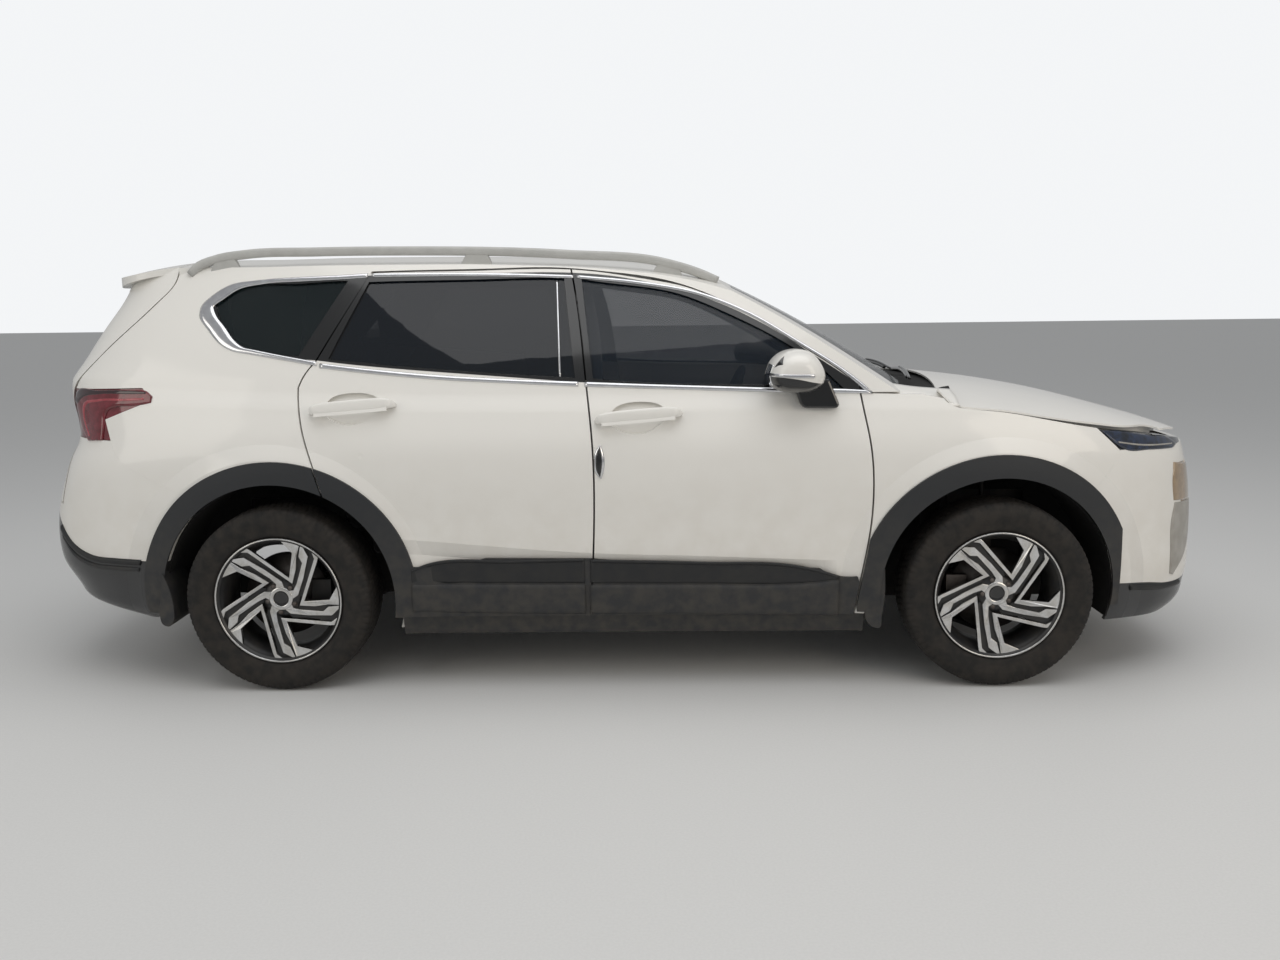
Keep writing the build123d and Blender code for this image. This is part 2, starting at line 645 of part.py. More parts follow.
# ---------------------------------------------------------------- outer panels
def fender():
    rear = from_front_axle(FRONT_LINE, SHUT_GAP / 2)
    rear[0] = (rear[0][0], DOOR_BOTTOM)
    top = from_front_axle(BONNET_EDGE[1:], 0, -SHUT_GAP)
    bumper = from_front_axle(BUMPER_LINE_FRONT)
    face = outline(rear, [(FRONT_AXLE - 300, 1128)], top, [(bumper[-1][0], bumper[-1][1])],
                   bumper[::-1], [(FRONT_AXLE, 640)], [(FRONT_AXLE - 400, DOOR_BOTTOM)])
    return (wing.layer(0, FENDER_DEPTH) & from_side(face)) - front_arch


def both_sides(shape):
    return [shape, left(shape)]


LAMP_LINE = [(462, 905), (692, 902)]
BUMPER_TOP = 902.0
FRONT_BOTTOM = 195.0


def front_bumper():
    line = from_front_axle([(x + SEAT_GAP, z) for x, z in BUMPER_LINE_FRONT])
    face = outline(line, [(FRONT_AXLE + 692, BUMPER_TOP)], [(NOSE + 60, BUMPER_TOP)],
                   [(NOSE + 60, FRONT_BOTTOM)], [(FRONT_AXLE + 420, 235)], [(FRONT_AXLE, 235)],
                   [(FRONT_AXLE, 640)])
    solid = nose.layer(0, FRONT_BUMPER_DEPTH) & from_side(face, -1200, 1200)
    solid = solid - front_arch - left(front_arch)
    for hole in (grille_outline(), intake_outline(), lamp_unit_outline()):
        solid = solid - from_front(hole, NOSE - 700, NOSE + 60)
    return solid - left(from_front(lamp_unit_outline(), NOSE - 700, NOSE + 60))


def grille_outline(shrink=0.0):
    """Seen from the front: u is y."""
    return corners((-500 + shrink, 840 - shrink), (500 - shrink, 840 - shrink),
                   (440 - shrink, 600 + shrink), (-440 + shrink, 600 + shrink))


def intake_outline(shrink=0.0):
    return corners((-520 + shrink, 430 - shrink), (520 - shrink, 430 - shrink),
                   (470 - shrink, 320 + shrink), (-470 + shrink, 320 + shrink))


def lamp_unit_outline(shrink=0.0):
    return corners((-680 + shrink, 830 - shrink), (-545 - shrink, 830 - shrink),
                   (-530 - shrink, 600 + shrink), (-640 + shrink, 600 + shrink))


def grille():
    """Frame with upright bars behind a row of cross bars."""
    solid = nose.layer(14, 40) & from_front(grille_outline(SEAT_GAP), NOSE - 300, NOSE + 60)
    hollow = corners((-470, 822), (470, 822), (418, 618), (-418, 618))
    solid = solid - from_front(hollow, NOSE - 300, NOSE + 60)
    bars = None
    for z in (652, 686, 720, 754, 788):
        bar = nose.layer(18, 36) & block((NOSE - 300, NOSE + 60), (-490, 490), (z - 6, z + 6))
        bar = bar & from_front(grille_outline(SEAT_GAP), NOSE - 300, NOSE + 60)
        solid = solid + bar
    return solid


def lamp_unit():
    return nose.layer(4, 60) & from_front(lamp_unit_outline(SEAT_GAP), NOSE - 700, NOSE + 60)


def slim_headlamp():
    """Lamp between bonnet, fender and bumper, wrapped round the corner."""
    lower = BUMPER_TOP + SEAT_GAP
    face = outline([(FRONT_AXLE + 462 + SHUT_GAP, lower + 3)], [(FRONT_AXLE + 371 + SHUT_GAP, 990 - SHUT_GAP)],
                   [(2098, 954 - SHUT_GAP - 2)], [(2250, 925 - SHUT_GAP)], [(NOSE + 60, 925 - SHUT_GAP)],
                   [(NOSE + 60, lower)], [(FRONT_AXLE + 692, lower)])
    solid = nose.layer(3, 60) & from_side(face, -1200, -560)
    return solid


def bonnet_edge_half_width(x):
    z = float(hermite(BONNET_SIDE, x))
    return skin_y(x, z)


def bonnet_outline(inset=0.0):
    """Plan of the bonnet: front edge behind the nose, rear edge bowed forward."""
    rear_x = FRONT_AXLE - 242 + inset
    stations = np.linspace(rear_x, FRONT_AXLE + 640, 8)
    side_line = [(x, -bonnet_edge_half_width(x) + 2 * SKIN_GAP + inset) for x in stations]
    front_x, front_y = waterline(930)
    keep = (front_x > FRONT_AXLE + 660) & (front_y > 5)
    pick = np.linspace(0, keep.sum() - 1, 9).astype(int)
    front_line = [(x - 16 - inset, -y * (1 - inset / 900)) for x, y in
                  zip(front_x[keep][pick][::-1], front_y[keep][pick][::-1])]
    right = side_line + front_line
    left_side = [(x, -y) for x, y in right[::-1]]
    rear_edge = [(rear_x, left_side[-1][1]), (rear_x + 70, left_side[-1][1] * 0.55), (rear_x + 98, 0),
                 (rear_x + 70, right[0][1] * 0.55), (rear_x, right[0][1])]
    return outline(right, [left_side[0]], left_side, rear_edge)


def bonnet_layer(top, bottom):
    x_range = (FRONT_AXLE - 300, NOSE + 10)
    return between(height_sheet(bonnet_z, x_range, 960, -top),
                   height_sheet(bonnet_z, x_range, 960, -bottom))


BONNET_HINGE = (FRONT_AXLE - 252, 1104)
BONNET_LUG = 787.0


def bonnet():
    skin_part = bonnet_layer(0, BONNET_SKIN) & from_above(bonnet_outline(), 700, 1300)
    inner = bonnet_layer(BONNET_SKIN - 2, BONNET_DEPTH) & from_above(bonnet_outline(62), 700, 1300)
    solid = skin_part + inner
    x, z = BONNET_HINGE
    lug = from_side(corners((x - 11, z - 11), (x - 11, z + 11), (x + 40, z + 9), (x + 175, z - 28),
                            (x + 175, z - 40), (x + 40, z - 14)), -BONNET_LUG - 5, -BONNET_LUG + 5)
    lug = lug - rod((x, -BONNET_LUG - 10, z), (x, -BONNET_LUG + 10, z), HINGE_PIN + HINGE_CLEARANCE)
    return solid + lug + left(lug)


# ---------------------------------------------------------------- roof and tailgate
ROOF_END = TAIL + 643
ROOF_HALF_WIDTH = 585.0         # of the panel between the roof sides
GATE_HINGE = (TAIL + 617, 1663)
GATE_ARM = 200.0               # distance of the tailgate hinges from the centre plane


def roof_layer(top, bottom):
    return between(height_sheet(roof_z, (-2390, 590), 900, -top),
                   height_sheet(roof_z, (-2390, 590), 900, -bottom))


def roof_panel(sides):
    half = ROOF_HALF_WIDTH
    plan = corners((ROOF_END, -half), (FRONT_AXLE - 1000, -half), (FRONT_AXLE - 1000, half), (ROOF_END, half))
    solid = roof_layer(0, ROOF_THICKNESS) & from_above(plan, 1300, 1800)
    header = block((ROOF_END + 4, ROOF_END + 90), (-500, 500), (1590, 1640))
    solid = (solid + header) - ahead_of_screen
    for one in sides:
        solid = solid - one
    x, z = GATE_HINGE
    for y in (-GATE_ARM, GATE_ARM):
        solid = solid + rod((x, y - 25, z), (x, y + 25, z), HINGE_PIN)
        solid = solid + block((x - 6, x + 6), (y - 5, y + 5), (1584, z + 6))
        solid = solid + block((x - 6, ROOF_END + 10), (y - 5, y + 5), (1584, 1596))
    return solid


def screen_layer(outer, inner):
    return between(screen_sheet(-outer * 0.87, -outer * 0.5), screen_sheet(-inner * 0.87, -inner * 0.5))


SCREEN_BASE = 1150.0


def windscreen(sides, roof):
    face = corners((-790, SCREEN_BASE), (-600, 1640), (600, 1640), (790, SCREEN_BASE))
    solid = screen_layer(0.5, 6.5) & from_front(face, -200, 1500)
    solid = solid - above_roof - roof
    for one in sides:
        solid = solid - one
    return solid


def tailgate_outline():
    gate = gate_edge(712, 1700, 0, 17)
    return outline([(TAIL - 60, 712)], gate, [(gate[-1][0], 1720)], [(TAIL - 60, 1720)])


def rear_window_outline(shrink=0.0):
    return outline([(-545 + shrink, 1240 + shrink), (0, 1222 + shrink), (545 - shrink, 1240 + shrink)],
                   [(545 - shrink, 1240 + shrink), (510 - shrink, 1400), (455 - shrink, 1548 - shrink)],
                   [(455 - shrink, 1548 - shrink), (-455 + shrink, 1548 - shrink)],
                   [(-455 + shrink, 1548 - shrink), (-510 + shrink, 1400), (-545 + shrink, 1240 + shrink)])


def spoiler():
    """Top of the tailgate, from the hinge line back to the lip over the rear window."""
    front = ROOF_END - 16
    face = outline([(front, 1612), (front, 1700)], [(TAIL + 180, 1700)],
                   [(TAIL + 180, 1576), (TAIL + 300, 1566), (TAIL + 494, 1598), (front, 1612)])
    edge = [(494, 560), (405, 525), (335, 430), (280, 300), (242, 150)]
    plan = outline([(front, -560)], [*[(TAIL + dx, -y) for dx, y in edge], (TAIL + 232, 0),
                                     *[(TAIL + dx, y) for dx, y in edge[::-1]]], [(front, 560)])
    solid = from_side(face, -700, 700) & from_above(plan, 1500, 1750)
    return solid - above_roof


def tailgate():
    solid = tail.layer(0, TAILGATE_DEPTH) & from_side(tailgate_outline(), -1200, 1200)
    solid = solid - from_front(rear_window_outline(), TAIL - 60, TAIL + 700) - above_roof
    solid = solid + spoiler()
    x, z = GATE_HINGE
    for y in (-GATE_ARM, GATE_ARM):
        solid = solid - block((x - 14, x + 60), (y - 11, y + 11), (1500, 1750))
        solid = solid - rod((x, y - 28, z), (x, y + 28, z), HINGE_PIN + HINGE_CLEARANCE)
    return solid


def rear_bumper():
    line = from_rear_axle([(x - SEAT_GAP, z) for x, z in BUMPER_LINE_REAR])
    gate = from_tail(GATE_LINE)
    face = outline(line[::-1], [(REAR_AXLE, 640)], [(REAR_AXLE, 300)], [(REAR_AXLE - 420, 300)],
                   [(TAIL + 380, 215)], [(TAIL - 60, 215)], [(TAIL - 60, 704)],
                   [(gate[0][0] + SHUT_GAP, 704)], [(TAIL + 187 + SHUT_GAP, 975)])
    solid = tail.layer(0, BUMPER_DEPTH) & from_side(face, -1200, 1200)
    return solid - rear_arch - left(rear_arch)


def tail_lamp():
    gate = from_tail(GATE_LINE[1:4], SHUT_GAP)
    lamp = from_tail([(421 - 2, 977), (391, 1055), (570 - 3, 1120), (592 - 5, 1138), (555, 1178 - 2)])
    face = outline(*[[p] for p in lamp], [(gate[-1][0] + 2, 1165)], [(TAIL + 189 + SHUT_GAP, 977)])
    return tail.layer(2, 50) & from_side(face, -1200, 0)


def quarter_glass():
    return frame.layer(GLASS_DEPTH, GLASS_DEPTH + GLASS_THICKNESS) & from_side(quarter_window())


# ---------------------------------------------------------------- cladding
CLADDING_RADIUS = 541.0
CLADDING_TOP = [(-1400, 486), (-1050, 490), (-600, 476), (-300, 470)]


def cladding_sill_outline():
    return outline([(FRONT_AXLE - 540, 440), (FRONT_AXLE - 606, 440), (FRONT_AXLE - 684, 472)],
                   [(FRONT_AXLE - 1368, 501), (FRONT_AXLE - 1555, 517)], [(REAR_AXLE + 804, 521)],
                   [(REAR_AXLE + 692, 489)], [(REAR_AXLE + 380, 489)], [(REAR_AXLE + 380, DOOR_BOTTOM)],
                   [(FRONT_AXLE - 480, DOOR_BOTTOM)])


def cladding_layer(skin):
    return skin.layer(-CLADDING_PROUD, -SKIN_GAP)


def arch_ring(axle, low):
    ring = arch_cut(axle, CLADDING_RADIUS, -1200, -500) - arch_cut(axle, ARCH_RADIUS - 7, -1300, -400)
    return ring - block((axle - 700, axle + 700), (-1300, -400), (-200, low))


def front_door_cladding():
    trim = cladding_layer(middle) & from_side(cladding_sill_outline())
    return trim & from_side(front_door_outline())


def rear_door_cladding():
    trim = (cladding_layer(middle) & from_side(cladding_sill_outline()))
    arch = cladding_layer(middle) & arch_ring(REAR_AXLE, DOOR_BOTTOM)
    trim = (trim & from_side(rear_door_outline())) + (arch & from_side(rear_door_outline()))
    return trim - arch_cut(REAR_AXLE, ARCH_RADIUS - 7)


def arch_cladding():
    ahead = cladding_layer(wing) & arch_ring(FRONT_AXLE, 300)
    ahead = ahead - from_side(front_door_outline(SHUT_GAP))
    behind_door = quarter.layer(-CLADDING_PROUD, -2 * SKIN_GAP) & arch_ring(REAR_AXLE, 300)
    behind_door = behind_door - from_side(rear_door_outline(SHUT_GAP))
    return [ahead, behind_door]


quarter = Skin(side_grid(REAR_AXLE + 560, REAR_AXLE - 640, 250, 960, 34, 26))


# ---------------------------------------------------------------- roof rails, liners
def roof_rail():
    """Bowed rail on three feet."""
    y = -590.0
    top = [(TAIL + 715, 1650), (TAIL + 800, 1686), (TAIL + 920, RAIL_HEIGHT - 8), (-900, RAIL_HEIGHT - 2),
           (-200, RAIL_HEIGHT - 24), (180, RAIL_HEIGHT - 60), (FRONT_AXLE - 1065, RAIL_HEIGHT - 122)]
    low = [(x + 10, z - 32) for x, z in top[1:-1]]
    feet = outline(top, [(top[-1][0] - 40, top[-1][1] - 18)], low[::-1], [(top[0][0] + 20, top[0][1] - 22)])
    rail = from_side(feet, y - 16, y + 16)
    for x in (TAIL + 830, -560, 190):
        rail = rail + block((x - 45, x + 45), (y - 12, y + 12), (1500, float(roof_z(x, y)) + 40))
    return rail & above_roof


FRONT_LINER_INNER = 488.0       # distance of the inner wall from the centre plane
REAR_LINER_INNER = 560.0


def liner(axle, outer, inner, low):
    outer_r, inner_r = ARCH_RADIUS - SEAT_GAP, ARCH_RADIUS - SEAT_GAP - LINER_THICKNESS
    shell = arch_cut(axle, outer_r, -outer, -inner) - arch_cut(axle, inner_r, -1000, -inner - LINER_THICKNESS)
    shell = shell - block((axle - 700, axle + 700), (-1300, -400), (-200, low))
    return shell - block((axle - 210, axle + 210), (-inner - 60, -inner + 60), (-200, 700))


def front_liner():
    return liner(FRONT_AXLE, 824, FRONT_LINER_INNER, 250) - rod(kingpin(770), kingpin(870), 18)


def rear_liner():
    return liner(REAR_AXLE, 856, REAR_LINER_INNER, 300)


def mud_flap(axle, dx, low):
    y = HALF - 70
    return block((axle + dx - 4, axle + dx + 4), (-y, -y + 210), (low, low + 270))


# ---------------------------------------------------------------- inner structure
FLOOR = 320.0
FLOOR_THICKNESS = 12.0


BULKHEAD_X = FRONT_AXLE - 316
HEEL_X = REAR_AXLE + 470
BOOT_FLOOR = 612.0


def floor_profile():
    """Side view of the floor sheet: toe board, floor, heel board, boot floor, rear panel."""
    t, front, rear = FLOOR_THICKNESS, BULKHEAD_X + 7, TAIL + 205
    return corners((front, 559.7), (front - 120, FLOOR), (HEEL_X, FLOOR), (HEEL_X - 90, BOOT_FLOOR),
                   (rear, BOOT_FLOOR), (rear, 700), (rear - t, 700), (rear - t, BOOT_FLOOR - t),
                   (HEEL_X - 98, BOOT_FLOOR - t), (HEEL_X - 8, FLOOR - t), (front - 114, FLOOR - t),
                   (front + t, 559.7))


def floor_pan(neighbours):
    """Floor from bulkhead to tail with its tunnel, side members and strut towers."""
    tunnel = corners((-150, FLOOR - 6), (-110, FLOOR + 130), (0, FLOOR + 130), (0, FLOOR - 6))
    solid = from_side(floor_profile(), -800, 0) + from_front(tunnel, HEEL_X - 60, BULKHEAD_X - 110)
    rail, x = (-483, -427), FRONT_AXLE
    solid = solid + block((BULKHEAD_X - 60, NOSE - 190), rail, (430, 530))
    solid = solid + block((TAIL + 200, HEEL_X - 92), (-500, -430), (520, BOOT_FLOOR - 5))
    solid = solid + block((x - 90, x + 90), (-452, -440), (500, 905))
    solid = solid + block((x - 90, x + 90), (-690, -440), (893, 905))
    solid = solid + block((BULKHEAD_X - 60, BULKHEAD_X - 10), (-483, -427), (FLOOR - 8, 440))
    for neighbour in neighbours:
        solid = solid - neighbour
    solid = solid - arch_cut(REAR_AXLE, ARCH_RADIUS, -1300, 5 - REAR_LINER_INNER)
    solid = solid - arch_cut(FRONT_AXLE, ARCH_RADIUS, -1300, 2 - FRONT_LINER_INNER)
    solid = solid - block((TAIL + 100, TAIL + 450), (-900, -620), (500, 720))
    return solid + left(solid)


def above_floor(shape):
    """Cut a shape off just over the floor."""
    g, front, rear = SEAT_GAP, BULKHEAD_X + 7, TAIL + 205
    below = corners((front + 200, FLOOR + g), (HEEL_X + g, FLOOR + g), (HEEL_X - 90 + g, BOOT_FLOOR + g),
                    (rear, BOOT_FLOOR + g), (rear, -50), (front + 200, -50))
    return shape - from_side(below, -900, 900)


def bulkhead(neighbours):
    """Panel between engine bay and cabin, with the cowl trough and bonnet hinges on it."""
    x, (hx, hz) = BULKHEAD_X, BONNET_HINGE
    solid = block((x, x + 14), (-800, 0), (560, 1085)) + block((x, hx + 45), (-800, 0), (1073, 1085))
    for neighbour in neighbours:
        solid = solid - neighbour
    solid = solid - arch_cut(FRONT_AXLE, ARCH_RADIUS, -1300, 2 - FRONT_LINER_INNER)
    y = -BONNET_LUG + 7
    solid = solid + block((hx - 13, hx + 13), (y, y + 50), (1078, hz + 12))
    solid = solid + rod((hx, y + 4, hz), (hx, y - 13, hz), HINGE_PIN)
    return solid + left(solid)


def dashboard():
    x = BULKHEAD_X - SEAT_GAP
    profile = outline([(x, 1066), (x - 240, 1060), (x - 370, 1010)],
                      [(x - 370, 1010), (x - 400, 900), (x - 320, 760)], [(x, 700)])
    solid = from_side(profile, -700, 700)
    console = corners((x - 60, FLOOR + 131), (x - 60, 720), (x - 330, 700), (x - 420, 600),
                      (x - 1080, 590), (x - 1080, FLOOR + 131))
    solid = solid + from_side(console, -105, 105)
    centre, axis = steering_axis()
    tube = rod(centre + axis * 60, centre + axis * 330, 42)
    bore = rod(centre + axis * 40, centre + axis * 200, COLUMN_RADIUS + HINGE_CLEARANCE)
    return (solid + tube) - bore


COLUMN_RADIUS = 18.0
STEERING_WHEEL_RADIUS = 185.0


def steering_axis():
    """Centre of the steering wheel and the direction of its column, forwards and down."""
    tilt = np.radians(22)
    return Vector(BULKHEAD_X - 640, 375, 985), Vector(np.cos(tilt), 0, -np.sin(tilt))


def steering_wheel():
    centre, axis = steering_axis()
    plane = Plane(centre, x_dir=Vector(0, 1, 0), z_dir=axis)
    rim_ring = Solid.make_torus(STEERING_WHEEL_RADIUS, 15, plane)
    hub = rod(centre - axis * 20, centre + axis * 35, 62)
    solid = rim_ring + hub + rod(centre, centre + axis * 195, COLUMN_RADIUS)
    for angle in (0, 180, 270):
        arm = Rot(0, 0, angle) * Pos(STEERING_WHEEL_RADIUS / 2, 0, 5) \
            * Box(STEERING_WHEEL_RADIUS, 36, 14)
        solid = solid + plane.location * arm
    return solid


def seat(x, y, width):
    """Cushion, reclined back and head restraint."""
    cushion = from_side(outline([(x + 470, 560), (x + 380, 610), (x, 590)], [(x - 60, 480)],
                                [(x + 440, 440)]), y - width / 2, y + width / 2)
    back = from_side(outline([(x, 560), (x - 150, 1000), (x - 190, 1140)], [(x - 290, 1130)],
                             [(x - 250, 980), (x - 120, 500)]), y - width / 2, y + width / 2)
    head = block((x - 290, x - 190), (y - 130, y + 130), (1150, 1330))
    stem = block((x - 250, x - 230), (y - 60, y + 60), (1100, 1180))
    base = block((x, x + 400), (y - width / 2 + 60, y + width / 2 - 60), (FLOOR + SEAT_GAP, 470))
    return cushion + back + head + stem + base


def front_seats():
    x = FRONT_AXLE - 1560
    return [seat(x, -375, 500), seat(x, 375, 500)]


def rear_seats():
    x = FRONT_AXLE - 2440
    solid = seat(x, -330, 430) + seat(x, 330, 430) + seat(x, 0, 300)
    tunnel_room = block((x - 300, x + 700), (-160, 160), (0, FLOOR + 131))
    return above_floor(solid - tunnel_room)


ENGINE_X = (FRONT_AXLE - 110, FRONT_AXLE + 400)


SUBFRAME_TOP = 284.7


def engine():
    return block(ENGINE_X, (-426, 426), (SUBFRAME_TOP + SEAT_GAP, 930))


def front_carrier():
    """Radiator in its frame and the crash beam, on the ends of the side members."""
    x = NOSE - 190 + SEAT_GAP
    core = block((x, x + 45), (-360, 360), (300, 800))
    beam = block((x, x + 70), (-560, 560), (440, 540))
    lower = block((x, x + 60), (-500, 500), (300, 330))
    upper = block((x - 20, x + 40), (-530, 530), (800, 850))
    return core + beam + lower + upper


def exhaust():
    """Pipe, transverse silencer and tail pipe, hung from the floor."""
    y, z = -60.0, 268.0
    path = Polyline((ENGINE_X[0] - SEAT_GAP, y, 326), (BULKHEAD_X + 60, y, 326),
                    (BULKHEAD_X - 90, y, z), (HEEL_X - 110, y, z),
                    (REAR_AXLE + 200, y - 120, 210), (REAR_AXLE - 180, y - 300, 210),
                    (REAR_AXLE - 430, -420, 380))
    tube = sweep(Plane(origin=path @ 0, z_dir=path % 0) * Circle(28), path=path,
                 transition=Transition.ROUND)
    box = block((REAR_AXLE - 700, REAR_AXLE - 420), (-560, 200), (330, 480))
    box = fillet(box.edges().filter_by(Axis.Y), 40)
    tail_pipe = rod((REAR_AXLE - 690, -470, 370), (TAIL + 232, -470, 352), 34)
    solid = tube + box + tail_pipe
    for x in (BULKHEAD_X - 500, HEEL_X + 100):
        solid = solid + rod((x, y, z), (x, y, FLOOR - FLOOR_THICKNESS - SEAT_GAP), 6)
    for hanger in (-400, 100):
        top = BOOT_FLOOR - FLOOR_THICKNESS - SEAT_GAP
        solid = solid + rod((REAR_AXLE - 560, hanger, 400), (REAR_AXLE - 560, hanger, top), 6)
    return solid


def fuel_tank():
    top = FLOOR - FLOOR_THICKNESS - SEAT_GAP
    tank = block((HEEL_X + 30, HEEL_X + 560), (60, 560), (215, top))
    return fillet(tank.edges().filter_by(Axis.Z), 50)


# ---------------------------------------------------------------- suspension
KINGPIN_FOOT = (FRONT_TRACK / 2 - 76.5, 225.0)     # distance from the middle, height
KINGPIN_HEAD = (FRONT_TRACK / 2 - 218.5, 880.0)
SPINDLE_RADIUS = 22.0


def kingpin(z):
    """Point of the right-hand steering axis at one height."""
    (y0, z0), (y1, z1) = KINGPIN_FOOT, KINGPIN_HEAD
    return Vector(FRONT_AXLE, -(y0 + (y1 - y0) * (z - z0) / (z1 - z0)), z)


def bearing_bore(axle, y):
    return rod((axle, y - 60, AXLE_HEIGHT), (axle, y + 120, AXLE_HEIGHT),
               SPINDLE_RADIUS + HINGE_CLEARANCE)


def front_knuckle():
    """Upright with its bearing, brake caliper and the strut that turns with it."""
    y = -FRONT_TRACK / 2
    web = corners((y + 56, 320), (y + 56, 405), (y + 92, 440), (y + 120, 545), (y + 168, 560),
                  (y + 164, 480), (y + 120, 400), (y + 98, 380), (y + 98, 300), (y + 90, 214),
                  (y + 62, 214), (y + 52, 300))
    solid = from_front(web, FRONT_AXLE - 24, FRONT_AXLE + 24)
    solid = solid + rod((FRONT_AXLE, y + 54, AXLE_HEIGHT), (FRONT_AXLE, y + 98, AXLE_HEIGHT), 48)
    solid = solid + rod(kingpin(500), kingpin(690), 26) + rod(kingpin(672), kingpin(690), 48)
    arm = block((FRONT_AXLE - 130, FRONT_AXLE - 10), (y + 60, y + 92), (AXLE_HEIGHT - 30, AXLE_HEIGHT + 30))
    solid = solid + arm + caliper(FRONT_AXLE, y, -1)
    solid = solid - rod(kingpin(190), kingpin(243), 9 + HINGE_CLEARANCE)
    solid = solid - rod(kingpin(560), kingpin(700), 11 + HINGE_CLEARANCE)
    return solid - bearing_bore(FRONT_AXLE, y)


DISC_RADIUS = 162.0
DISC_OFFSET = 26.0             # middle of the disc inboard of the wheel's middle plane
DISC_THICKNESS = 28.0


def caliper(axle, y, ahead):
    """Bridge over the edge of the brake disc; ahead is +1 or -1 along x."""
    out, inn = y + DISC_OFFSET - 46, y + DISC_OFFSET + 54
    x0, x1 = axle + ahead * 105, axle + ahead * 182
    solid = block((min(x0, x1), max(x0, x1)), (out, inn), (AXLE_HEIGHT - 62, AXLE_HEIGHT + 62))
    slot = rod((axle, y + DISC_OFFSET - DISC_THICKNESS / 2 - 5, AXLE_HEIGHT),
               (axle, y + DISC_OFFSET + DISC_THICKNESS / 2 + 5, AXLE_HEIGHT), DISC_RADIUS + 6)
    limit = rod((axle, out - 5, AXLE_HEIGHT), (axle, inn + 5, AXLE_HEIGHT), 205)
    return (solid & limit) - slot


def front_suspension():
    """Subframe, lower arms, and the struts' rods and top mounts."""
    x = FRONT_AXLE
    solid = block((x - 250, x + 150), (-400, 0), (225, SUBFRAME_TOP))
    solid = solid + block((x - 60, x + 60), (-475, -380), (240, 275))
    solid = solid + block((x - 40, x + 40), (-478, -432), (260, 430 - SEAT_GAP))
    foot = kingpin(205)
    arm = corners((x - 200, -390), (x - 200, -430), (x - 30, foot.Y - 26), (x + 30, foot.Y - 26),
                  (x + 130, -430), (x + 130, -390))
    solid = solid + from_above(arm, 178, 193) + block((x - 200, x - 140), (-430, -350), (178, 240))
    solid = solid + block((x + 80, x + 130), (-430, -350), (178, 240))
    solid = solid + rod(kingpin(185), kingpin(240), 9)
    solid = solid + rod(kingpin(600), kingpin(884), 11)
    solid = solid + (rod(kingpin(868), kingpin(905), 58) - block((x - 99, x + 99), (-800, -400), (892.7, 1000)))
    return mirrored_pair(solid)


def mirrored_pair(half):
    """A half and its mirror image, joined where they meet."""
    return half + left(half)


def rear_suspension():
    """Subframe, arms, uprights with bearings and brake calipers, and dampers."""
    x, y = REAR_AXLE, -REAR_TRACK / 2
    solid = block((x - 130, x + 130), (-430, 0), (255, 335))
    solid = solid + block((x - 60, x + 60), (-495, -420), (270, 320))
    solid = solid + block((x - 60, x + 60), (-495, -440), (300, 520 - SEAT_GAP))
    solid = solid + block((x - 45, x + 45), (y + 60, -420), (228, 262))
    solid = solid + block((x - 15, x + 25), (y + 70, -470), (452, 474))
    web = corners((y + 54, 300), (y + 54, 420), (y + 70, 476), (y + 104, 476), (y + 98, 400),
                  (y + 98, 300), (y + 104, 226), (y + 62, 226))
    solid = solid + from_front(web, x - 34, x + 34)
    solid = solid + rod((x, y + 54, AXLE_HEIGHT), (x, y + 98, AXLE_HEIGHT), 50)
    solid = solid + rod((x - 20, -560, 240), (x - 20, -534, BOOT_FLOOR - FLOOR_THICKNESS - 20), 26)
    solid = solid + block((x + 10, x + 130), (y + 60, y + 92), (AXLE_HEIGHT - 30, AXLE_HEIGHT + 30))
    solid = solid + caliper(x, y, 1)
    return mirrored_pair(solid - bearing_bore(x, y))


# ---------------------------------------------------------------- wheels
def ring_profile(points):
    """Closed face in the plane of axle (u) and radius (v)."""
    return corners(*points)


def turned(face, axle, y):
    """Profile (axial, radius) turned about the axle at (axle, y)."""
    if face.normal_at().Z < 0:
        face = -face
    solid = Solid.revolve(face, 360, Axis.X)
    return solid.rotate(Axis.Z, -90).moved(Location((axle, y, AXLE_HEIGHT)))


def tyre(axle, y):
    """y is the wheel's middle plane, on the right side; +u of the profile points outwards."""
    w, r, seat = TYRE_WIDTH / 2, TYRE_RADIUS, RIM_RADIUS - 14
    bead = RIM_WIDTH / 2 - 9 - SEAT_GAP
    half = [(w - 20, r - 1.5), (w - 6, r - 10), (w - 1, r - 28), (w, r - 60), (w - 8, r - 95), (bead, RIM_RADIUS + 2),
            (bead, seat), (bead - 18, seat), (w - 22, r - 58), (w - 30, r - 22)]
    return turned(corners((0, r), *half, (0, r - 17), *[(-u, v) for u, v in half[::-1]]), axle, y)


SPOKES = 5
HUB_FACE = 18.0                # the wheel's seat on the hub, outboard of its middle plane


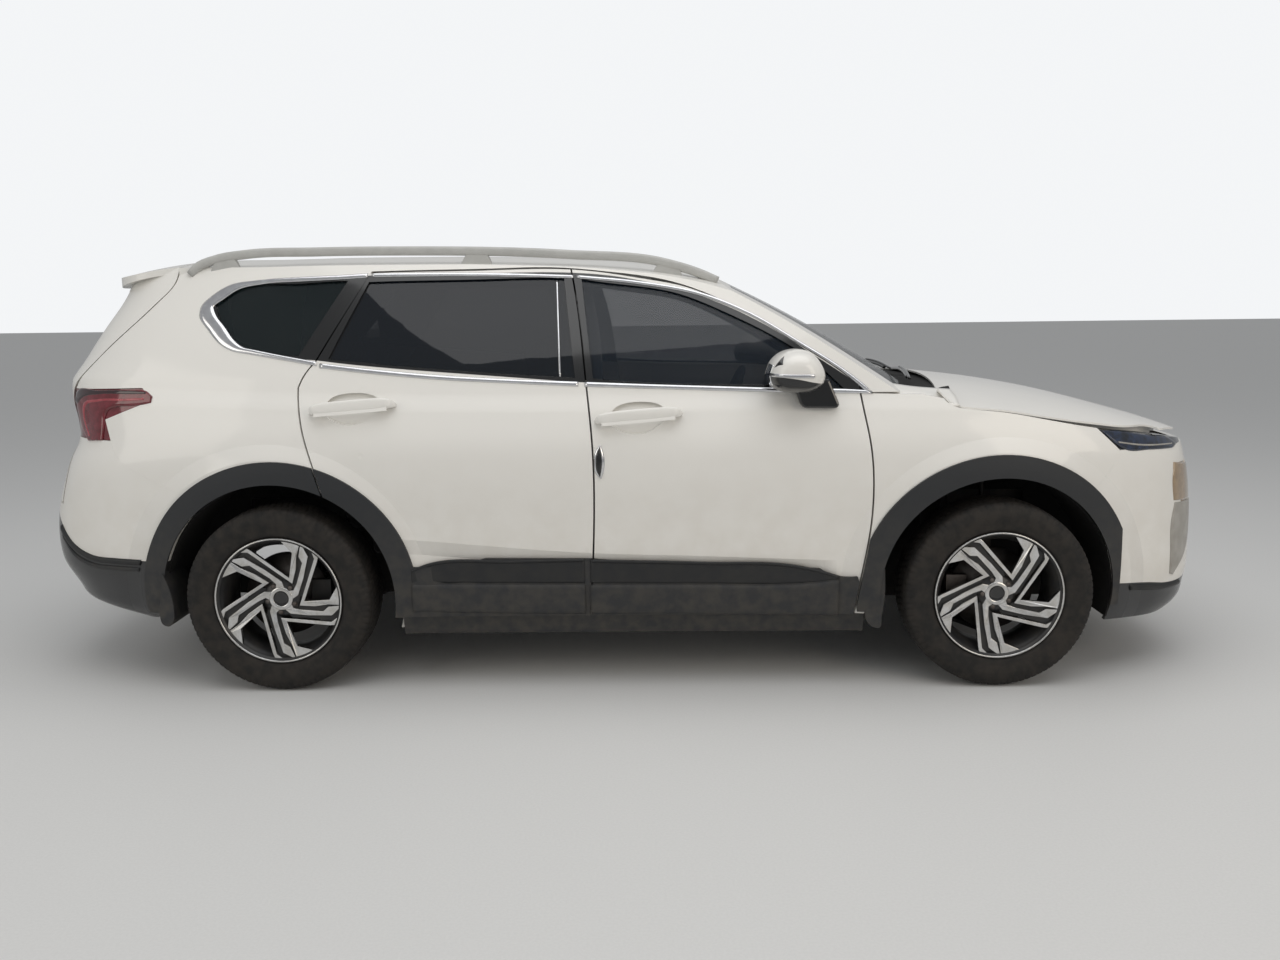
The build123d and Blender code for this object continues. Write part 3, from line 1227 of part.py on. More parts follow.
def rim(axle, y):
    """Alloy wheel: barrel, dished face cut into forked spokes, and centre cap."""
    half, f = RIM_WIDTH / 2, RIM_RADIUS
    b = f - 14 - SEAT_GAP
    barrel = turned(outline([(-half, f)], [(-half + 9, f)], [(-half + 9, b)],
                            [(-half + 40, b - 2), (-half + 66, b - 16)],
                            [(half - 66, b - 16), (half - 40, b - 2)], [(half - 9, b)], [(half - 9, f)],
                            [(half, f)], [(half, b - 10)],
                            [(half - 40, b - 14), (half - 66, b - 28)],
                            [(-half + 66, b - 28), (-half + 40, b - 14)], [(-half, b - 10)]), axle, y)
    dish = turned(outline([(HUB_FACE + SEAT_GAP, 0)], [(HUB_FACE + SEAT_GAP, 74)],
                          [(half - 62, b - 60), (half - 46, b - 26)], [(half - 44, b - 6)],
                          [(half - 8, b - 6)],
                          [(half - 24, b - 70), (half - 44, 80), (half - 50, 60)], [(half - 50, 0)]),
                  axle, y)
    star = rod((axle, y - 200, AXLE_HEIGHT), (axle, y + 200, AXLE_HEIGHT), 62)
    for index in range(SPOKES):
        angle = 90 + index * 360 / SPOKES
        for lean in (-1, 1):
            spoke = corners((40, lean * 2), (40, lean * 34), (b, lean * 66), (b, lean * 34))
            placed = from_side(spoke.rotate(Axis.Z, angle).moved(Location((axle, AXLE_HEIGHT, 0))),
                               y - 200, y + 200)
            star = star + placed
    return barrel + (dish & star)


def brake_disc(axle, y):
    """Disc, hat and the spindle that runs in the upright's bearing."""
    inner, outer = -DISC_OFFSET - DISC_THICKNESS / 2, -DISC_OFFSET + DISC_THICKNESS / 2
    return turned(corners((-104, 0), (-104, SPINDLE_RADIUS), (-46, SPINDLE_RADIUS), (-46, 44),
                          (inner, 44), (inner, DISC_RADIUS), (outer, DISC_RADIUS), (outer, 78),
                          (HUB_FACE, 78), (HUB_FACE, 0)), axle, y)


# ---------------------------------------------------------------- assembly
def save(name, *solids):
    """Write the solids of one node."""
    pieces = [piece for solid in solids for piece in solid.solids()]
    export_step(pieces[0] if len(pieces) == 1 else Compound(pieces), f"parts/{name}.step")


def build():
    os.makedirs("parts", exist_ok=True)
    side = body_side()
    rocker, post = sill(), hinge_post()
    neighbours = [side, rocker, post]
    save("body_sides", side, left(side))
    save("sills", rocker, left(rocker), post, left(post))
    roof = roof_panel([side, left(side)])
    save("roof_panel", roof)
    pane = quarter_glass()
    save("fixed_glass", windscreen([side, left(side)], roof), pane, left(pane))
    save("floor_pan", floor_pan(neighbours))
    save("bulkhead", bulkhead(neighbours))
    wing_panel = fender()
    save("fenders", wing_panel, left(wing_panel))
    save("front_bumper", front_bumper())
    save("rear_bumper", rear_bumper())
    save("grille", grille())
    lamps = [slim_headlamp(), lamp_unit()]
    save("headlamps", *lamps, *[left(lamp) for lamp in lamps])
    lamp = tail_lamp()
    save("tail_lamps", lamp, left(lamp))
    rail = roof_rail()
    save("roof_rails", rail, left(rail))
    trims = arch_cladding()
    save("arch_cladding", *trims, *[left(trim) for trim in trims])
    liners = [front_liner(), rear_liner()]
    save("wheel_liners", *liners, *[left(one) for one in liners])
    save("dashboard", dashboard())
    save("front_seats", *front_seats())
    save("rear_seats", rear_seats())
    save("engine", engine())
    save("front_carrier", front_carrier())
    save("exhaust", exhaust())
    save("fuel_tank", fuel_tank())
    save("front_suspension", front_suspension())
    save("rear_suspension", rear_suspension())
    save("steering_wheel", steering_wheel())
    save("bonnet", bonnet())
    save("tailgate", tailgate())
    save("tailgate_glass", tail.layer(5, 10) & from_front(rear_window_outline(SEAT_GAP), TAIL - 60, TAIL + 700))
    door_front, door_rear = front_door(), rear_door()
    pairs = {"front": (door_front, side_glass(front_window(SEAT_GAP)), front_door_cladding()),
             "rear": (door_rear, side_glass(rear_window(SEAT_GAP)), rear_door_cladding())}
    for place, (panel, pane, trim) in pairs.items():
        for hand, turn in (("right", lambda shape: shape), ("left", left)):
            save(f"{place}_{hand}_door", turn(panel))
            save(f"{place}_{hand}_door_glass", turn(pane))
            save(f"{place}_{hand}_door_cladding", turn(trim))
    upright = front_knuckle()
    save("right_knuckle", upright)
    save("left_knuckle", left(upright))
    for place, axle, track in (("front", FRONT_AXLE, FRONT_TRACK), ("rear", REAR_AXLE, REAR_TRACK)):
        tyre_solid, rim_solid = tyre(axle, -track / 2), rim(axle, -track / 2)
        disc = brake_disc(axle, -track / 2)
        for hand, turn in (("right", lambda shape: shape), ("left", left)):
            save(f"{place}_{hand}_tyre", turn(tyre_solid))
            save(f"{place}_{hand}_rim", turn(rim_solid), turn(disc))


build()
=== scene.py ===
import json
import math

import bmesh
import bpy
import numpy as np
from mathutils import Matrix, Vector


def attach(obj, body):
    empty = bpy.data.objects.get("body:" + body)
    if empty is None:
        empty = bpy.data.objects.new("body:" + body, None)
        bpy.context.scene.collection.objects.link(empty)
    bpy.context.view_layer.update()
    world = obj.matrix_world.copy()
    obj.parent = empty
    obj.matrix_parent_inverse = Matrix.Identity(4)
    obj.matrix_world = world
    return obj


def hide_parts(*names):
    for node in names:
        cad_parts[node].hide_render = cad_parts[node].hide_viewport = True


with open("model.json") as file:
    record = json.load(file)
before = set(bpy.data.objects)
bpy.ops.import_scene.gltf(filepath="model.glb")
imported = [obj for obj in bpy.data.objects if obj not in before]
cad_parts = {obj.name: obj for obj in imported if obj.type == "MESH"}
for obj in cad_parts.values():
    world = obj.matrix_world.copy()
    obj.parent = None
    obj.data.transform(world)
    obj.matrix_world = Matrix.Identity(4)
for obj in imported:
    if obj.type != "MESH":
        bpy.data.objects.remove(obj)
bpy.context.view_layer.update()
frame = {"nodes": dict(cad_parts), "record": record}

NODES = frame["nodes"]

# ---------------------------------------------------------------- sizes in millimetres
LENGTH, HALF = 4785.0, 950.0
FRONT_AXLE, REAR_AXLE, AXLE_HEIGHT = 1447.5, -1317.5, 362.0
FRONT_TRACK, REAR_TRACK = 1637.0, 1647.0
NOSE, TAIL = LENGTH / 2, -LENGTH / 2
ARCH_RADIUS, FLARE, FLARE_WIDTH = 462.0, 16.0, 135.0
END_START, NOSE_ROUNDING, TAIL_ROUNDING = 700.0, 3.7, 4.4
# each section gives, at a height, how far the skin lies in from the widest, foremost or rearmost place
SIDE_SECTION = [(150, 105), (200, 82), (300, 57), (420, 47), (560, 44), (650, 41), (750, 32),
                (850, 26), (930, 29), (985, 39), (1040, 57), (1100, 78), (1300, 154),
                (1500, 250), (1600, 305), (1760, 420)]
NOSE_SECTION = [(150, 330), (190, 120), (240, 36), (330, 4), (560, 0), (700, 12), (860, 46),
                (920, 68), (1000, 140), (1700, 140)]
TAIL_SECTION = [(150, 400), (240, 330), (300, 140), (390, 56), (460, 14), (560, 0), (690, 18),
                (780, 48), (890, 94), (955, 130), (1000, 132), (1150, 96), (1200, 96),
                (1250, 130), (1400, 224), (1519, 302), (1616, 342), (1700, 362)]
# upper and lower edge of the black band round the side windows, as (x, z)
BAND_TOP = [(-1637, 1478), (-1579, 1535), (-1517, 1569), (-1248, 1595), (-977, 1606), (-616, 1610),
            (87, 1574), (401, 1481), (616, 1371), (767, 1271), (916, 1172), (969, 1133)]
BAND_BOTTOM = [(-1619, 1440), (-1541, 1348), (-1472, 1314), (-1164, 1268), (-442, 1200),
               (85, 1162), (547, 1148), (969, 1127)]


def hermite(table, at):
    """Smooth curve through a table's points (cubic Hermite, central tangents)."""
    x, y = np.array(table, float).T
    step = np.diff(x)
    slope = np.diff(y) / step
    tangent = np.empty_like(y)
    tangent[1:-1] = (slope[:-1] * step[1:] + slope[1:] * step[:-1]) / (step[:-1] + step[1:])
    tangent[0], tangent[-1] = slope[0], slope[-1]
    at = np.clip(at, x[0], x[-1])
    i = np.clip(np.searchsorted(x, at) - 1, 0, len(x) - 2)
    h = step[i]
    s = (at - x[i]) / h
    return ((1 + 2 * s) * (1 - s) ** 2 * y[i] + s * (1 - s) ** 2 * h * tangent[i]
            + s * s * (3 - 2 * s) * y[i + 1] + s * s * (s - 1) * h * tangent[i + 1])


def smooth_step(low, high, at):
    """0 below low, 1 above high and 3 t^2 - 2 t^3 between them."""
    t = np.clip((at - low) / (high - low), 0, 1)
    return t * t * (3 - 2 * t)


def skin(x, z):
    """Half width of the body at (x, z): side section plus arch swelling, times a superellipse at each end."""
    x, z = np.broadcast_arrays(np.asarray(x, float), np.asarray(z, float))
    width = HALF - hermite(SIDE_SECTION, z)
    for axle in (FRONT_AXLE, REAR_AXLE):
        r = np.hypot(x - axle, z - AXLE_HEIGHT)
        width = width + FLARE * (1 - smooth_step(ARCH_RADIUS, ARCH_RADIUS + FLARE_WIDTH, r)) \
            * smooth_step(1000, 930, z)
    nose = np.clip((x - END_START) / (NOSE - hermite(NOSE_SECTION, z) - END_START), 0, 1)
    tail = np.clip((-x - END_START) / (-TAIL - hermite(TAIL_SECTION, z) - END_START), 0, 1)
    return width * (1 - nose ** NOSE_ROUNDING) ** (1 / NOSE_ROUNDING) \
        * (1 - tail ** TAIL_ROUNDING) ** (1 / TAIL_ROUNDING)


# ---------------------------------------------------------------- materials
def linear(hex6):
    """sRGB hex to the linear colour that shaders take."""
    rgb = np.array([int(hex6[i:i + 2], 16) for i in (0, 2, 4)]) / 255
    rgb = np.where(rgb <= 0.04045, rgb / 12.92, ((rgb + 0.055) / 1.055) ** 2.4)
    return (*rgb.tolist(), 1.0)


def join(tree, made, links):
    """Give a node's inputs what links holds for them: a socket, a plain value or an sRGB hex colour."""
    for name, value in links.items():
        if isinstance(value, bpy.types.NodeSocket):
            tree.links.new(value, made.inputs[name])
        else:
            made.inputs[name].default_value = linear(value) if isinstance(value, str) else value


def node(tree, kind, links=None, out=0, **settings):
    """Add a node with its own settings, join links to its inputs and give one of its outputs."""
    made = tree.nodes.new(kind)
    for name, value in settings.items():
        setattr(made, name, value)
    join(tree, made, links or {})
    return made.outputs[out] if made.outputs else None


COLOURS = {"out": 2, "data_type": "RGBA"}    # a Mix node set to colours: amount on 0, the colours on 6 and 7


def span(low, high, to_low=0.0, to_high=1.0):
    """The ends of a Map Range node, which moves one range to another and holds its ends."""
    return {"From Min": low, "From Max": high, "To Min": to_low, "To Max": to_high}


def new_material(name, **sockets):
    """A Principled material whose even values sit on the shader's own sockets."""
    material = bpy.data.materials.new(name)
    material.use_nodes = True
    shader = material.node_tree.nodes["Principled BSDF"]
    for socket, value in sockets.items():
        shader.inputs[socket.replace("_", " ")].default_value = value
    return material, material.node_tree, shader


def mottled(tree, patch_mm, low, high, detail=4.0):
    """Value that wanders between low and high over patches of patch_mm: the middle of a noise, stretched."""
    place = node(tree, "ShaderNodeTexCoord", out="Object")
    noise = node(tree, "ShaderNodeTexNoise", {"Vector": place, "Scale": 1000 / patch_mm, "Detail": detail})
    return node(tree, "ShaderNodeMapRange", {"Value": noise, **span(0.35, 0.65, low, high)})


def road_dust(tree, top, bottom, patch_mm, least, most):
    """Amount of dust: none above top, thickest at bottom (m), in patches."""
    place = node(tree, "ShaderNodeTexCoord", out="Object")
    z = node(tree, "ShaderNodeSeparateXYZ", {"Vector": place}, out="Z")
    low = node(tree, "ShaderNodeMapRange", {"Value": z, **span(top, bottom)})
    patches = mottled(tree, patch_mm, least, most)
    return node(tree, "ShaderNodeMath", {0: low, 1: patches}, operation="MULTIPLY")


def height_over(tree, table, shift=0.0):
    """How far (m) a point lies over the line z = table(x) in millimetres, moved up by shift."""
    place = node(tree, "ShaderNodeTexCoord", out="Object")
    x, z = [node(tree, "ShaderNodeSeparateXYZ", {"Vector": place}, out=axis) for axis in "XZ"]
    x0, x1 = table[0][0], table[-1][0]
    z0, z1 = min(height for _, height in table) - 1, max(height for _, height in table) + 1
    along = node(tree, "ShaderNodeMapRange", {"Value": x, **span(x0 / 1000, x1 / 1000)})
    curve = node(tree, "ShaderNodeFloatCurve", {"Value": along})
    mapping = curve.node.mapping
    points = mapping.curves[0].points
    samples = np.linspace(x0, x1, 24)
    shares = (hermite(table, samples) - z0) / (z1 - z0)
    points[0].location, points[-1].location = (0, shares[0]), (1, shares[-1])
    for at, share in zip(samples[1:-1], shares[1:-1]):
        points.new((at - x0) / (x1 - x0), share)
    mapping.update()
    ends = span(0, 1, (z0 + shift) / 1000, (z1 + shift) / 1000)
    line = node(tree, "ShaderNodeMapRange", {"Value": curve, **ends})
    return node(tree, "ShaderNodeMath", {0: z, 1: line}, operation="SUBTRACT")


def beyond_line(tree, table, shift=0.0, below=False):
    """1 above the line z = table(x), or below it, and 0 on its other side, over a ramp of 1 mm."""
    ends = (0.0005, -0.0005) if below else (-0.0005, 0.0005)
    return node(tree, "ShaderNodeMapRange", {"Value": height_over(tree, table, shift), **span(*ends)})


def distance_from(tree, x, z):
    """Distance (m) in the side view from a point."""
    place = node(tree, "ShaderNodeTexCoord", out="Object")
    shifted = node(tree, "ShaderNodeVectorMath", {0: place, 1: (x, 0, z)}, operation="SUBTRACT")
    flat = node(tree, "ShaderNodeVectorMath", {0: shifted, 1: (1, 0, 1)}, operation="MULTIPLY")
    return node(tree, "ShaderNodeVectorMath", {0: flat}, out="Value", operation="LENGTH")


LOWER_CREASE = [(-801, 594), (-112, 537), (308, 522), (804, 502)]
SHOULDER_CREASE = [(-1900, 1132), (-1300, 1110), (-700, 1096), (0, 1090), (900, 1088), (1900, 1064)]
FLARE_CREASE = 0.605          # radius (m) of the pressed line round each arch
FLARE_CENTRES = (FRONT_AXLE / 1000, REAR_AXLE / 1000 - 0.02)
DENTS = [(-1.000, 1.040), (-0.972, 0.922)]


def pressed_lines(tree):
    """Height (m) of the lines in the panels: a tuck under the lower door line, a shoulder, a lip round each
    arch and two dents, added up."""
    place = node(tree, "ShaderNodeTexCoord", out="Object")
    x = node(tree, "ShaderNodeSeparateXYZ", {"Vector": place}, out="X")
    behind, ahead = [node(tree, "ShaderNodeMapRange", {"Value": x, **span(*ends)})
                     for ends in ((-0.90, -0.80), (0.83, 0.78))]
    on_doors = node(tree, "ShaderNodeMath", {0: behind, 1: ahead}, operation="MULTIPLY")
    drop = height_over(tree, LOWER_CREASE)
    tuck = node(tree, "ShaderNodeMapRange", {"Value": drop, **span(0.0, -0.055, 0.0, -0.020)})
    height = node(tree, "ShaderNodeMath", {0: tuck, 1: on_doors}, operation="MULTIPLY")
    lines = [(height_over(tree, SHOULDER_CREASE), span(-0.02, 0.055, 0.0, -0.013), "SMOOTHSTEP")]
    for axle in FLARE_CENTRES:
        lines.append((distance_from(tree, axle, AXLE_HEIGHT / 1000),
                      span(FLARE_CREASE, FLARE_CREASE - 0.06, 0.0, 0.021), "LINEAR"))
    for dent in DENTS:
        lines.append((distance_from(tree, *dent), span(0.0, 0.014, -0.0014, 0.0), "SMOOTHSTEP"))
    for value, ends, shape in lines:
        more = node(tree, "ShaderNodeMapRange", {"Value": value, **ends}, interpolation_type=shape)
        height = node(tree, "ShaderNodeMath", {0: height, 1: more}, operation="ADD")
    return height


def white_paint(name, dark_mask=None, dark="08090B", dark_rough=0.2):
    """Pearl white two-layer paint: soft base under a clear, glossy coat, with road dust low on the sides.
    Where dark_mask gives 1, the piece shows dark plastic or film instead."""
    material, tree, shader = new_material(name, Roughness=0.45, IOR=1.45, Coat_Weight=0.7,
                                          Coat_Roughness=0.08)
    dust = road_dust(tree, 0.95, 0.30, 90, 0.15, 0.45)
    colour = node(tree, "ShaderNodeMix", {0: dust, 6: "E9E7E2", 7: "CBC4B8"}, **COLOURS)
    if dark_mask:
        mask = dark_mask(tree)
        colour = node(tree, "ShaderNodeMix", {0: mask, 6: colour, 7: dark}, **COLOURS)
        rough = node(tree, "ShaderNodeMapRange", {"Value": mask, **span(0, 1, 0.45, dark_rough)})
        join(tree, shader, {"Roughness": rough})
    lines = node(tree, "ShaderNodeBump", {"Height": pressed_lines(tree), "Distance": 1.0, "Strength": 1.0})
    join(tree, shader, {"Base Color": colour, "Normal": lines})
    return material


def in_window_band(tree):
    """1 in the band round the side windows: under its top, over its bottom and between its two ends."""
    place = node(tree, "ShaderNodeTexCoord", out="Object")
    x = node(tree, "ShaderNodeSeparateXYZ", {"Vector": place}, out="X")
    mask = beyond_line(tree, BAND_TOP, -9, below=True)
    bounds = [beyond_line(tree, BAND_BOTTOM, 9)]
    for ends in ((-1.6285, -1.6275), (0.9625, 0.9615)):
        bounds.append(node(tree, "ShaderNodeMapRange", {"Value": x, **span(*ends)}))
    for bound in bounds:
        mask = node(tree, "ShaderNodeMath", {0: mask, 1: bound}, operation="MULTIPLY")
    return mask


REAR_VALANCE = [(-2400, 690), (-2330, 676), (-2279, 640), (-2183, 552), (-2094, 517), (-1980, 511),
                (-1700, 510)]
FRONT_VALANCE = [(1700, 400), (1960, 380), (2090, 367), (2171, 354), (2300, 350), (2400, 360)]


def below_rear_line(tree):
    return beyond_line(tree, REAR_VALANCE, below=True)


def below_front_line(tree):
    return beyond_line(tree, FRONT_VALANCE, below=True)


GRAIN_COARSER = 4             # leather grain is drawn this much coarser and deeper, so that it shows


def grained_plastic(name, colour, dusty, roughness, grain_mm=0.8, height_mm=0.05):
    """Moulded polypropylene with a fine leather grain, which scatters light evenly, and dust in it."""
    material, tree, shader = new_material(name, Roughness=roughness, IOR=1.49)
    dust = road_dust(tree, 0.75, 0.25, 45, 0.1, 0.75)
    place = node(tree, "ShaderNodeTexCoord", out="Object")
    cells = node(tree, "ShaderNodeTexVoronoi", {"Vector": place, "Scale": 1000 / (grain_mm * GRAIN_COARSER)})
    depth = height_mm * GRAIN_COARSER / 1000
    join(tree, shader, {
        "Base Color": node(tree, "ShaderNodeMix", {0: dust, 6: colour, 7: dusty}, **COLOURS),
        "Normal": node(tree, "ShaderNodeBump", {"Height": cells, "Distance": depth, "Strength": 0.5})})
    return material


def metal(name, colours, roughness, streak_mm=None):
    """A bare or plated metal of two close shades; streaks draw its turned or brushed lines as roughness."""
    material, tree, shader = new_material(name, Metallic=1.0, Roughness=roughness)
    patches = mottled(tree, 30, 0.0, 1.0)
    shades = {0: patches, 6: colours[0], 7: colours[1]}
    join(tree, shader, {"Base Color": node(tree, "ShaderNodeMix", shades, **COLOURS)})
    if streak_mm:
        join(tree, shader, {"Roughness": mottled(tree, streak_mm, roughness * 0.8, roughness * 1.25, 6.0)})
    return material


def painted_metal(name, colour, worn, roughness):
    """Satin enamel with patches of dirt, as on parts under the car."""
    material, tree, shader = new_material(name, Roughness=roughness)
    patches = mottled(tree, 55, 0.0, 1.0)
    shades = {0: patches, 6: colour, 7: worn}
    join(tree, shader, {"Base Color": node(tree, "ShaderNodeMix", shades, **COLOURS)})
    return material


def tinted_glass(name, colour, density):
    """Tempered glass: clear, with a dark tint; alpha carries the tint so that it also shows when exported."""
    material, tree, shader = new_material(name, Roughness=0.02, IOR=1.52, Alpha=density)
    join(tree, shader, {"Base Color": colour})
    material.surface_render_method = "BLENDED"
    return material


def gloss_plastic(name, colour, second, roughness=0.12):
    """Polished ABS or polycarbonate of two close shades, under a clear gloss."""
    material, tree, shader = new_material(name, Roughness=roughness, IOR=1.55, Coat_Weight=0.5,
                                          Coat_Roughness=0.04)
    patches = mottled(tree, 25, 0.0, 1.0)
    shades = {0: patches, 6: colour, 7: second}
    join(tree, shader, {"Base Color": node(tree, "ShaderNodeMix", shades, **COLOURS)})
    return material


def split_lamp(name, height, above, below):
    """Polished lens over a black bezel in its upper part and over a reflector in its lower part."""
    material, tree, shader = new_material(name, Roughness=0.06, IOR=1.55, Coat_Weight=0.5,
                                          Coat_Roughness=0.04)
    place = node(tree, "ShaderNodeTexCoord", out="Object")
    z = node(tree, "ShaderNodeSeparateXYZ", {"Vector": place}, out="Z")
    upper = node(tree, "ShaderNodeMapRange", {"Value": z, **span(height - 0.001, height + 0.001)})
    shades = {0: upper, 6: below, 7: above}
    join(tree, shader, {"Base Color": node(tree, "ShaderNodeMix", shades, **COLOURS)})
    return material


def tyre_rubber():
    """Vulcanised rubber: matt, brown with dried dust on the sidewall."""
    material, tree, shader = new_material("dusty_tyre_rubber", Roughness=0.78, IOR=1.5)
    shades = {0: mottled(tree, 38, 0.05, 0.85, 6.0), 6: "0F0E0D", 7: "29241F"}
    pores = {"Height": mottled(tree, 2.5, 0, 1), "Distance": 0.00015, "Strength": 0.4}
    join(tree, shader, {"Base Color": node(tree, "ShaderNodeMix", shades, **COLOURS),
                        "Normal": node(tree, "ShaderNodeBump", pores)})
    return material


def woven_fabric():
    """Flat-woven polyester upholstery; threads 1.5 mm apart are drawn at 4 mm so that they show."""
    material, tree, shader = new_material("woven_seat_fabric", Roughness=0.9, Sheen_Weight=0.25)
    place = node(tree, "ShaderNodeTexCoord", out="Object")
    bands = {"Vector": place, "Scale": 80.0, "Distortion": 1.5}      # at scale 80 a band is 4 mm wide
    threads = node(tree, "ShaderNodeTexWave", bands, out="Fac")
    shades = {0: threads, 6: "1D1D1F", 7: "2C2C2E"}
    join(tree, shader, {
        "Base Color": node(tree, "ShaderNodeMix", shades, **COLOURS),
        "Normal": node(tree, "ShaderNodeBump", {"Height": threads, "Distance": 0.0004, "Strength": 0.5})})
    return material


PAINT = white_paint("pearl_white_paint")
PAINT_WINDOWS = white_paint("pearl_white_paint_black_window_frames", in_window_band)
PAINT_REAR = white_paint("pearl_white_paint_over_grey_rear_valance", below_rear_line, "232426", 0.6)
PAINT_FRONT = white_paint("pearl_white_paint_over_grey_front_valance", below_front_line, "232426", 0.6)
CLADDING = grained_plastic("grained_polypropylene_cladding", "25272A", "45413B", 0.6)
LINER = grained_plastic("pressed_felt_liner", "0D0D0D", "221F1C", 0.9, 2.0, 0.2)
DASH = grained_plastic("soft_touch_dashboard", "1B1C1E", "242526", 0.6)
BLACK_GLOSS = gloss_plastic("black_gloss_abs", "060607", "0B0B0D", 0.10)
CHROME = metal("satin_chrome_trim", ("D9DADC", "CFCFD2"), 0.16)
RAIL = painted_metal("satin_silver_rail", "B9B9B6", "B1B1AE", 0.42)
SILVER = painted_metal("silver_trim_lacquer", "A5A29C", "96928B", 0.35)
MIRROR = metal("mirror_silvering", ("E6E8EA", "E2E4E6"), 0.03)
ALLOY = metal("diamond_turned_alloy", ("D3D3D3", "C2C0BC"), 0.24, 1.5)
ALLOY_DARK = painted_metal("dark_grey_wheel_lacquer", "1E1F21", "2E2C2A", 0.38)
STEEL = metal("grey_cast_steel", ("6B6764", "5B5450"), 0.5, 3)
UNDER = painted_metal("black_underbody_enamel", "131313", "26221E", 0.6)
ENGINE = painted_metal("cast_iron_block", "343434", "3F3B36", 0.7)
FRONT_GLASS = tinted_glass("lightly_tinted_glass", "16202B", 0.5)
REAR_GLASS = tinted_glass("privacy_glass", "0D141C", 0.78)
SCREEN_GLASS = tinted_glass("windscreen_glass", "1B2528", 0.5)
LAMP_CLEAR = gloss_plastic("clear_polycarbonate_lamp", "A08C72", "93806A", 0.06)
LAMP_HEAD = split_lamp("headlamp_lens_dark_above_clear_below", 0.87, "0E141F", "9A876E")
LAMP_DARK = gloss_plastic("dark_headlamp_lens", "0E141F", "22304A", 0.05)
LAMP_RED = gloss_plastic("red_pmma_lamp", "5C0F18", "74202B", 0.08)
LAMP_GLOW = gloss_plastic("red_pmma_light_guide", "93303A", "A8434B", 0.08)
LAMP_SMOKE = gloss_plastic("smoked_red_pmma", "22090F", "310D14", 0.08)
# darker copy of the cladding: on each door's recessed step its darkness is painted shade; the lips and the
# bumper ledges use it as darker plastic
CLADDING_DARK_AND_PAINTED_SHADE = grained_plastic("darker_polypropylene_and_painted_shade", "17191C", "2C2A27", 0.5)
TYRE = tyre_rubber()
FABRIC = woven_fabric()

SLOT_LOOKS = {"paint": PAINT, "cladding": CLADDING, "grille": BLACK_GLOSS, "glass_clear": FRONT_GLASS,
              "glass_dark": REAR_GLASS, "lamp_clear": LAMP_CLEAR, "lamp_red": LAMP_RED, "rail": RAIL,
              "dark_metal": UNDER, "trim_dark": DASH, "fabric": FABRIC, "engine": ENGINE, "steel": STEEL,
              "tyre": TYRE, "alloy": ALLOY}
NODE_LOOKS = {"body_sides": PAINT_WINDOWS, "rear_bumper": PAINT_REAR, "front_bumper": PAINT_FRONT,
              "wheel_liners": LINER, "fixed_glass": SCREEN_GLASS, "grille": BLACK_GLOSS, "roof_rails": RAIL,
              "headlamps": LAMP_HEAD}
for place in ("front", "rear"):
    for hand in ("right", "left"):
        NODE_LOOKS[f"{place}_{hand}_door"] = PAINT_WINDOWS
for entry in frame["record"]["subparts"]:
    looks = NODE_LOOKS.get(entry["node"], SLOT_LOOKS[entry["material_slot"]])
    mesh = NODES[entry["node"]].data
    mesh.materials.clear()
    mesh.materials.append(looks)


# ---------------------------------------------------------------- mesh helpers
def piece(name, points, faces, material, body, slot, smooth=True, replaces=()):
    """A mesh object at the origin from points in millimetres, riding on a body."""
    mesh = bpy.data.meshes.new(name)
    metres = (np.asarray(points) / 1000).reshape(-1, 3)
    mesh.from_pydata(metres.tolist(), [], [list(map(int, face)) for face in faces])
    mesh.materials.append(material)
    mesh.shade_smooth() if smooth else mesh.shade_flat()
    mesh.validate()
    made = bpy.data.objects.new(name, mesh)
    bpy.context.scene.collection.objects.link(made)
    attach(made, body)
    if replaces:
        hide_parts(*replaces)
    return made


def grid_faces(rows, columns, wrap_rows=False, wrap_columns=False, start=0):
    """Quads of a rows by columns grid of points."""
    r = np.arange(rows if wrap_rows else rows - 1)
    c = np.arange(columns if wrap_columns else columns - 1)
    r, c = np.meshgrid(r, c, indexing="ij")
    a = r * columns + c
    b = r * columns + (c + 1) % columns
    d = ((r + 1) % rows) * columns + c
    e = ((r + 1) % rows) * columns + (c + 1) % columns
    return (np.stack([a, b, e, d], -1).reshape(-1, 4) + start).tolist()


def capped(rows, columns, start=0):
    """Faces of a closed profile carried along a path, with both ends closed."""
    faces = grid_faces(rows, columns, wrap_columns=True, start=start)
    first = list(range(start, start + columns))
    last = list(range(start + (rows - 1) * columns, start + rows * columns))
    return faces + [first[::-1], last]


def carried(path, outward, profile):
    """Profile (across, out) carried along a path, square to it: p + b u + n v, b = t x n."""
    tangent = np.gradient(path, axis=0)
    tangent /= np.linalg.norm(tangent, axis=1)[:, None]
    outward = outward - (outward * tangent).sum(1)[:, None] * tangent
    outward /= np.linalg.norm(outward, axis=1)[:, None]
    across = np.cross(tangent, outward)
    return path[:, None] + across[:, None] * profile[None, :, :1] + outward[:, None] * profile[None, :, 1:]


def skin_normal(x, z):
    """Outward normal of the right-hand skin by small differences."""
    d = 4.0
    nx = (skin(x + d, z) - skin(x - d, z)) / (2 * d)
    nz = (skin(x, z + d) - skin(x, z - d)) / (2 * d)
    n = np.stack([-nx, -np.ones_like(nx), -nz], -1)
    return n / np.linalg.norm(n, axis=-1)[..., None]


def strip_profile(width, thick, below=3.0):
    """Flat strip with rounded shoulders, closed underneath."""
    u = np.linspace(-1, 1, 9)
    top = np.stack([u * width / 2, thick * (1 - np.abs(u) ** 6)], 1)
    return np.concatenate([top, [[width / 2, -below], [-width / 2, -below]]])


def both(points, side):
    """Right-hand points, or their mirror image for the left."""
    return points * np.array([1, 1 if side == "right" else -1, 1])


def facing(faces, side):
    """The same faces, turned round where the points were mirrored."""
    return faces if side == "right" else [f[::-1] for f in faces]


